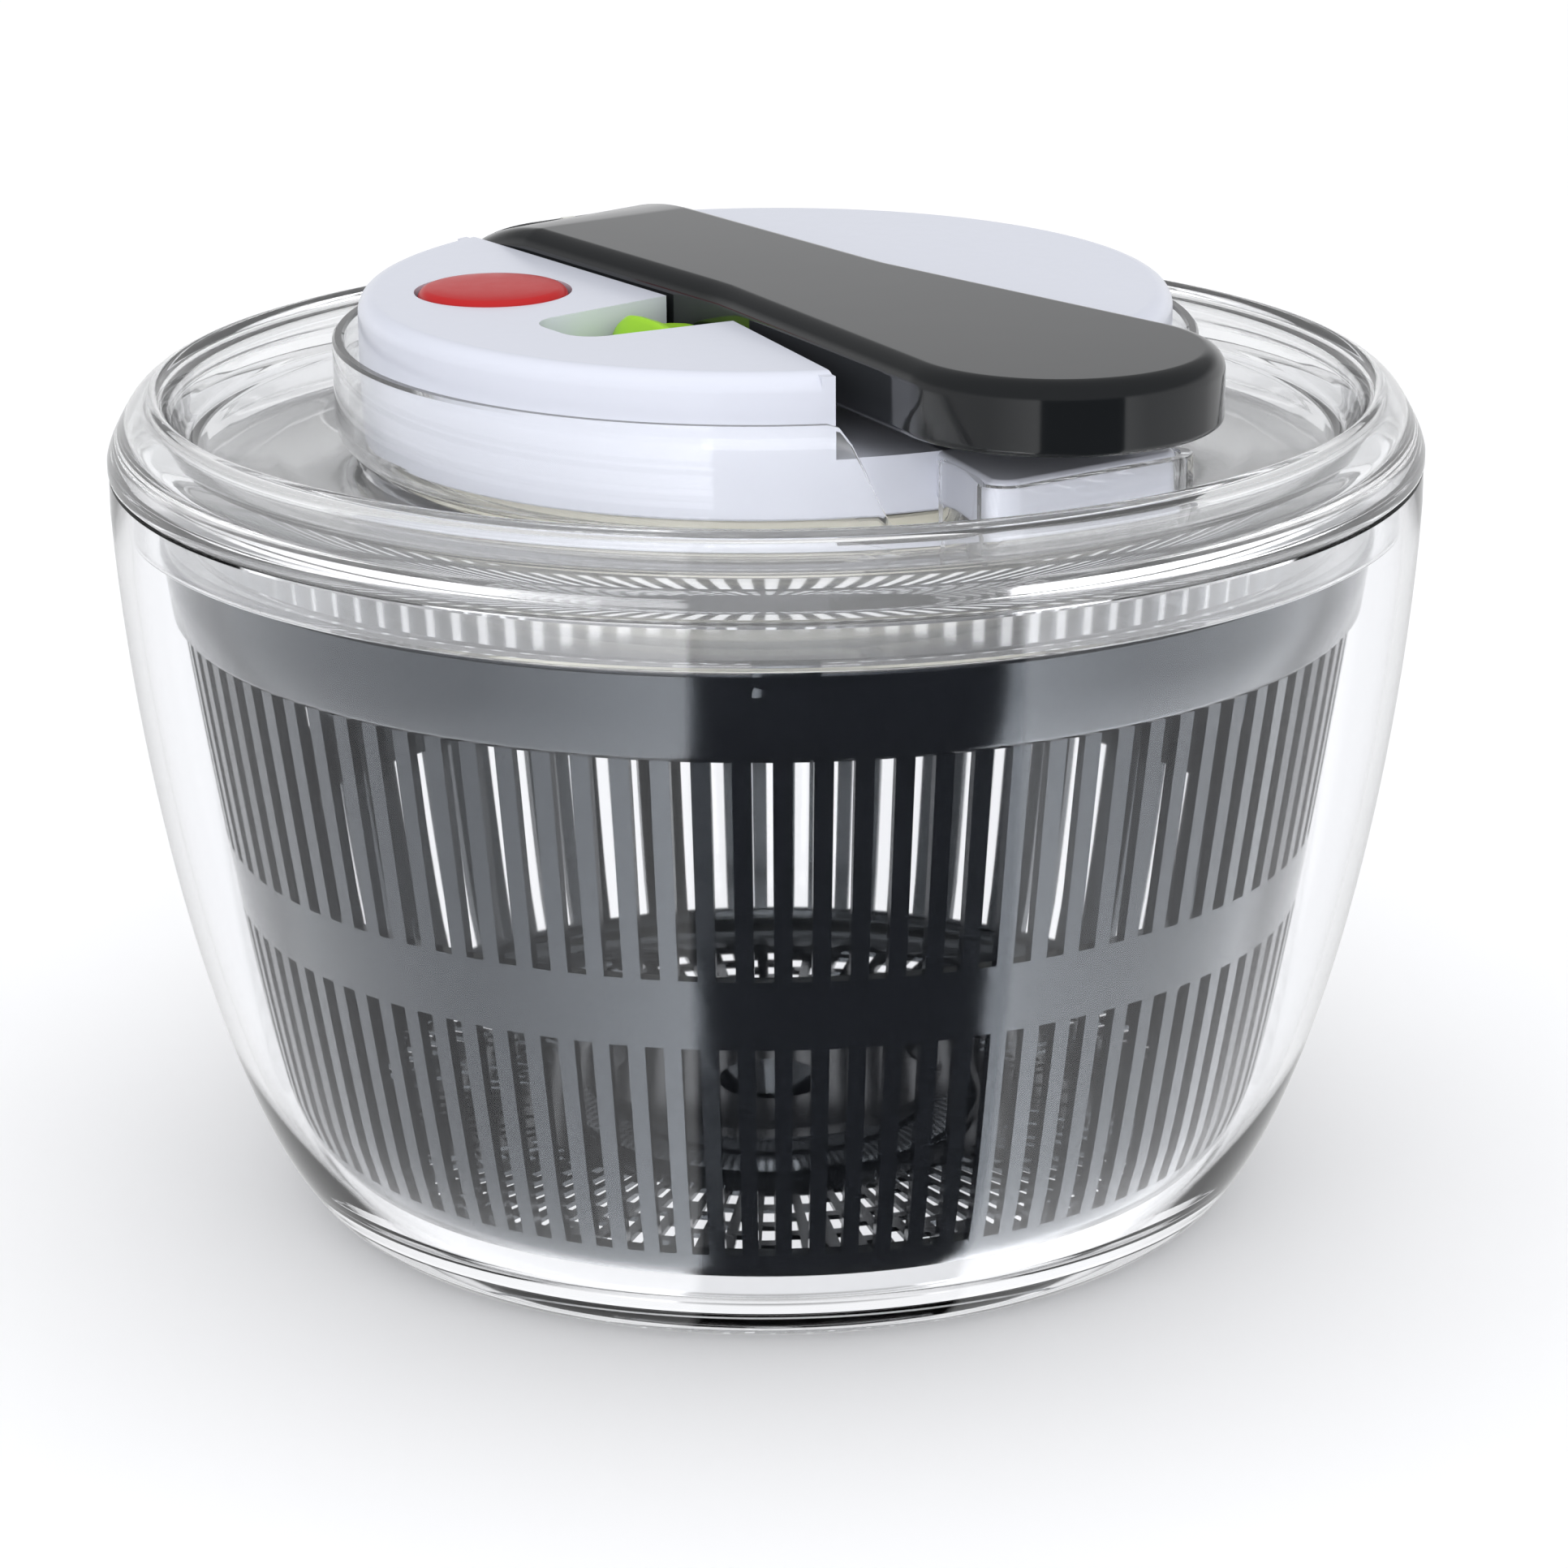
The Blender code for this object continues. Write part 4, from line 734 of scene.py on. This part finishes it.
def lock_side():
    """The lock seen from its side: a flat step, a scooped thumb ridge and a low rounded end."""
    ridge, inner = COVER_TOP - 0.4, LOCK_INNER
    side = [(inner, LOCK_LOW), (inner, ridge - 3.2), (inner - 3.0, ridge - 2.7), (inner - 6.0, ridge - 2.4)]
    side += [(inner - 9.0, ridge - 1.5), (inner - 11.0, ridge - 0.3), (inner - 12.4, ridge)]
    side += [(inner - 13.4, ridge - 0.8), (inner - 14.2, ridge - 3.4), (inner - 15.2, LOCK_TOP + 0.2)]
    return side + [(inner - 16.6, LOCK_TOP - 0.4), (LOCK_OUTER, LOCK_TOP - 0.9), (LOCK_OUTER, LOCK_LOW)]


def lock_row(shape, across):
    """The lock's side view at one place across it: lower at the sides, with its outer end rounded."""
    share = across / LOCK_HALF
    bow = 1.0 - 0.30 * share ** 4
    row = []
    for reach, z in lock_side():
        height = LOCK_LOW + (z - LOCK_LOW) * (bow if z > LOCK_TOP else 1.0)
        if reach <= LOCK_OUTER + 0.1:
            reach = LOCK_OUTER + 5.0 * (1 - math.sqrt(max(0.0, 1 - share ** 2)))
        row.append(shape.verts.new(((across + LOCK_X) * MM, reach * MM, height * MM)))
    return row


def make_lock():
    """The lime lock: a block with a thumb ridge, and the plate that reaches over the lever's catch."""
    shape = bmesh.new()
    rows = [lock_row(shape, LOCK_HALF * step / 10) for step in range(-10, 11)]
    count = len(rows[0])
    for a, b in zip(rows, rows[1:]):
        for i in range(count):
            j = (i + 1) % count
            shape.faces.new((a[i], b[i], b[j], a[j]))
    shape.faces.new(list(reversed(rows[0])))
    shape.faces.new(rows[-1])
    lock = finish_mesh("green_lock", shape, GREEN, 50)
    reach = [(3, LOCK_INNER - 3), (19, LOCK_INNER - 3), (19, 5), (3, 5)]
    boolean(lock, slab("reach", reach, LOCK_LOW, LOCK_LOW + 2.3), "UNION")
    window = [(6.5, -18), (15.5, -18), (15.5, 1), (6.5, 1)]
    boolean(lock, slab("window", window, LOCK_LOW - 2, LOCK_LOW + 4), "DIFFERENCE")
    bevel(lock, 0.6, 2, 55)
    apply_all(lock, 45)
    flatten(lock)
    return show(lock, "lock", "green_lock", "lock_slider")


# ---------------------------------------------------------------- basket cover

def make_basket_cover():
    """The clear disc that closes the basket, with a lip under its edge."""
    low, top = BASKET_TOP + 0.3, BASKET_TOP + 2.3
    rim = basket_radius(BAND_LOW) + 2.0
    section = [
        (13.4, top - 0.2), (13.6, top), (rim + 1.0, top), (rim + 1.2, top - 0.3), (rim + 1.2, low),
        (rim - 1.2, low), (rim - 1.8, low - 4.2), (rim - 2.2, low - 4.6), (rim - 3.0, low - 4.6),
        (rim - 3.2, low - 4.2), (rim - 3.2, low), (13.4, low),
    ]
    disc = revolve("clear_disc", section, LID_CLEAR, steps=192, angle=35)
    disc.visible_shadow = False
    return show(disc, "driver", "clear_lid", "basket_cover")


def make_lugs():
    """The dark lugs at the edge of the basket cover that sit in the basket's rim."""
    low, high = BASKET_TOP - 3.8, BASKET_TOP + 2.2
    radius = basket_radius(BAND_LOW) + 2.4
    for lug in range(4):
        turn = Matrix.Rotation(LUG_TURN + math.pi * lug / 2, 4, "Z")
        outline = [(radius - 1.6, -6.0), (radius + 1.2, -6.0), (radius + 1.2, 6.0), (radius - 1.6, 6.0)]
        obj = slab(f"cover_lug_{lug + 1}", outline, low, high, SMOKE)
        obj.data.transform(turn)
        bevel(obj, 0.5, 2)
        apply_all(obj)
        show(obj, "driver", "smoke_basket")


# ---------------------------------------------------------------- carried-over CAD nodes

def dress_cad():
    """Gives every CAD node that stays visible its finish."""
    looks = {
        STEEL: ["lever_pin", "gear_pin", "return_spring", "button_spring", "button_clip", "spindle_washer",
                "spindle_screw", "base_screw_1", "base_screw_2", "base_screw_3", "base_screw_4"],
        NYLON: ["lever_arm", "drive_rack", "compound_gear", "drive_spindle", "clutch_pawl_1", "clutch_pawl_2",
                "ratchet_ring", "driver_disc"],
        BRONZE: ["spindle_bush"],
        RUBBER: ["brake_pad"],
    }
    for look, names in looks.items():
        for name in names:
            for place in NODES[name].material_slots:
                place.material = look


# ---------------------------------------------------------------- studio

def make_floor():
    """Pale paper under the bowl."""
    shape = bmesh.new()
    bmesh.ops.create_grid(shape, x_segments=8, y_segments=8, size=6.0)
    paper = plastic("floor_paper", (0.93, 0.93, 0.94), (0.94, 0.94, 0.95), 0.9, 0.02, 40.0, 0.02)
    floor = finish_mesh("floor", shape, paper)
    floor.location.z = -0.0004
    floor.visible_glossy = False
    floor.visible_transmission = False


# Brightness of the studio: the paper, then what the gloss and the clear pieces show of each part
PAPER = 1.12
LEFT_FAR = 1.5
LEFT_NEAR = 3.2
RIGHT_NEAR = 4.4
RIGHT_FAR = 1.9
OUTER_SHARE = 0.35
GAP_LEVEL = 0.01
BEHIND_GLOSS = 0.8
UP_GLOSS = 0.26
UP_THROUGH = 0.7


def plug(tree, place, item):
    """Sets an input to a number, or joins it to another node's output."""
    if isinstance(item, (int, float)):
        place.default_value = item
    else:
        tree.links.new(item, place)


def world_value(tree, operation, *inputs):
    node = tree.nodes.new("ShaderNodeMath")
    node.operation = operation
    for place, item in zip(node.inputs, inputs):
        plug(tree, place, item)
    return node.outputs[0]


def step_up(tree, value, start, end, low=0.0, high=1.0):
    """A ramp from low to high while value goes from start to end."""
    node = tree.nodes.new("ShaderNodeMapRange")
    plug(tree, node.inputs["Value"], value)
    for key, item in (("From Min", start), ("From Max", end), ("To Min", low), ("To Max", high)):
        plug(tree, node.inputs[key], item)
    return node.outputs[0]


def blend(tree, share, first, second):
    node = tree.nodes.new("ShaderNodeMix")
    for key, item in (("Factor", share), ("A", first), ("B", second)):
        plug(tree, node.inputs[key], item)
    return node.outputs[0]


def level_directions(tree, split):
    """How far a direction points toward the viewer's side of the room, and to the viewer's right."""
    def along(x, y):
        part = world_value(tree, "MULTIPLY", split.outputs["X"], x)
        return world_value(tree, "MULTIPLY_ADD", split.outputs["Y"], y, part)

    toward = along(math.sin(FRONT_TURN), -math.cos(FRONT_TURN))
    across = along(math.cos(FRONT_TURN), math.sin(FRONT_TURN))
    return toward, across


def dark_gap(tree, toward, across):
    """1 inside the dark gap between the two screens, 0 outside it."""
    from_left = world_value(tree, "MULTIPLY_ADD", toward, 0.115, across)
    from_right = world_value(tree, "MULTIPLY_ADD", toward, -0.39, across)
    after_left = step_up(tree, from_left, -0.155, -0.135)
    before_right = step_up(tree, from_right, 0.375, 0.395, 1.0, 0.0)
    return world_value(tree, "MULTIPLY", after_left, before_right)


def bright_screens(tree, across, through):
    """The two screens' brightness, each shaded across its width and dimmer on the outermost gloss."""
    left = step_up(tree, across, -0.75, -0.15, LEFT_FAR, LEFT_NEAR)
    right = step_up(tree, across, 0.35, 0.85, RIGHT_NEAR, RIGHT_FAR)
    side = step_up(tree, across, 0.1, 0.2)
    share = blend(tree, through, OUTER_SHARE, 1.0)
    return world_value(tree, "MULTIPLY", blend(tree, side, left, right), share)


def make_world():
    """White paper all round; the gloss sees two bright screens with a dark gap between them instead."""
    world = bpy.data.worlds.new("studio")
    bpy.context.scene.world = world
    world.use_nodes = True
    tree = world.node_tree
    where = tree.nodes.new("ShaderNodeTexCoord")
    split = tree.nodes.new("ShaderNodeSeparateXYZ")
    path = tree.nodes.new("ShaderNodeLightPath")
    tree.links.new(where.outputs["Generated"], split.inputs[0])
    glossy, through = path.outputs["Is Glossy Ray"], path.outputs["Is Transmission Ray"]
    toward, across = level_directions(tree, split)
    front = blend(tree, dark_gap(tree, toward, across), bright_screens(tree, across, through), GAP_LEVEL)
    behind = blend(tree, through, BEHIND_GLOSS, 1.0)
    up = blend(tree, through, UP_GLOSS, UP_THROUGH)
    low = blend(tree, step_up(tree, toward, -0.60, -0.45), behind, front)
    every = blend(tree, step_up(tree, split.outputs["Z"], 0.12, 0.35), low, up)
    seen = blend(tree, world_value(tree, "ADD", glossy, through), PAPER, every)
    background = tree.nodes["Background"]
    background.inputs["Color"].default_value = (0.985, 0.99, 1.0, 1.0)
    tree.links.new(seen, background.inputs["Strength"])


def make_lights():
    """A soft lamp behind the viewer and a weak one overhead, both aimed at the bowl."""
    target = Vector((0.0, 0.0, 0.1))
    lamps = (("key", (1.3, -0.9, 0.45), 0.9, 9.0), ("top", (0.0, 0.2, 1.6), 1.2, 1.5))
    for name, place, size, power in lamps:
        data = bpy.data.lights.new(name, "AREA")
        data.size = size
        data.energy = power
        lamp = bpy.data.objects.new(name, data)
        lamp.location = place
        lamp.rotation_euler = (target - Vector(place)).to_track_quat("-Z", "Y").to_euler()
        lamp.visible_glossy = False
        bpy.context.scene.collection.objects.link(lamp)


# The camera, in a frame turned so that the viewer's side is straight ahead: its place, its aim and its lens
CAMERA_AWAY = 890.4
CAMERA_SIDE = -23.53
CAMERA_HEIGHT = 365.46
CAMERA_YAW = 0.029720
CAMERA_DOWN = 0.312750
CAMERA_ROLL = -0.006689
CAMERA_LENS = 109.81


def camera_axes(round_z):
    """The camera's right, up and back directions."""
    right = round_z @ Vector((math.cos(CAMERA_YAW), -math.sin(CAMERA_YAW), 0.0))
    ahead = round_z @ Vector((math.sin(CAMERA_YAW), math.cos(CAMERA_YAW), 0.0))
    up = math.cos(CAMERA_DOWN) * Vector((0.0, 0.0, 1.0)) + math.sin(CAMERA_DOWN) * ahead
    c, s = math.cos(CAMERA_ROLL), math.sin(CAMERA_ROLL)
    tilted_right = c * right + s * up
    tilted_up = c * up - s * right
    return tilted_right, tilted_up, tilted_right.cross(tilted_up)


def make_camera():
    """Above the lid and looking down at about 18 degrees, with the lever's tip to the right."""
    data = bpy.data.cameras.new("camera")
    data.lens = CAMERA_LENS
    data.sensor_width = 36.0
    data.clip_start, data.clip_end = 0.05, 50.0
    camera = bpy.data.objects.new("camera", data)
    bpy.context.scene.collection.objects.link(camera)
    round_z = Matrix.Rotation(FRONT_TURN, 3, "Z")
    place = round_z @ Vector((CAMERA_SIDE, -CAMERA_AWAY, CAMERA_HEIGHT)) * MM
    basis = Matrix(camera_axes(round_z)).transposed().to_4x4()
    camera.matrix_world = Matrix.Translation(place) @ basis
    bpy.context.scene.camera = camera


bpy.context.scene.view_settings.view_transform = "Standard"
make_bowl()
make_basket()
make_lid()
make_tongue_box()
make_cover()
make_tongue()
make_base()
make_lever()
make_button()
make_lock()
make_basket_cover()
make_lugs()
dress_cad()
make_floor()
make_world()
make_lights()
make_camera()
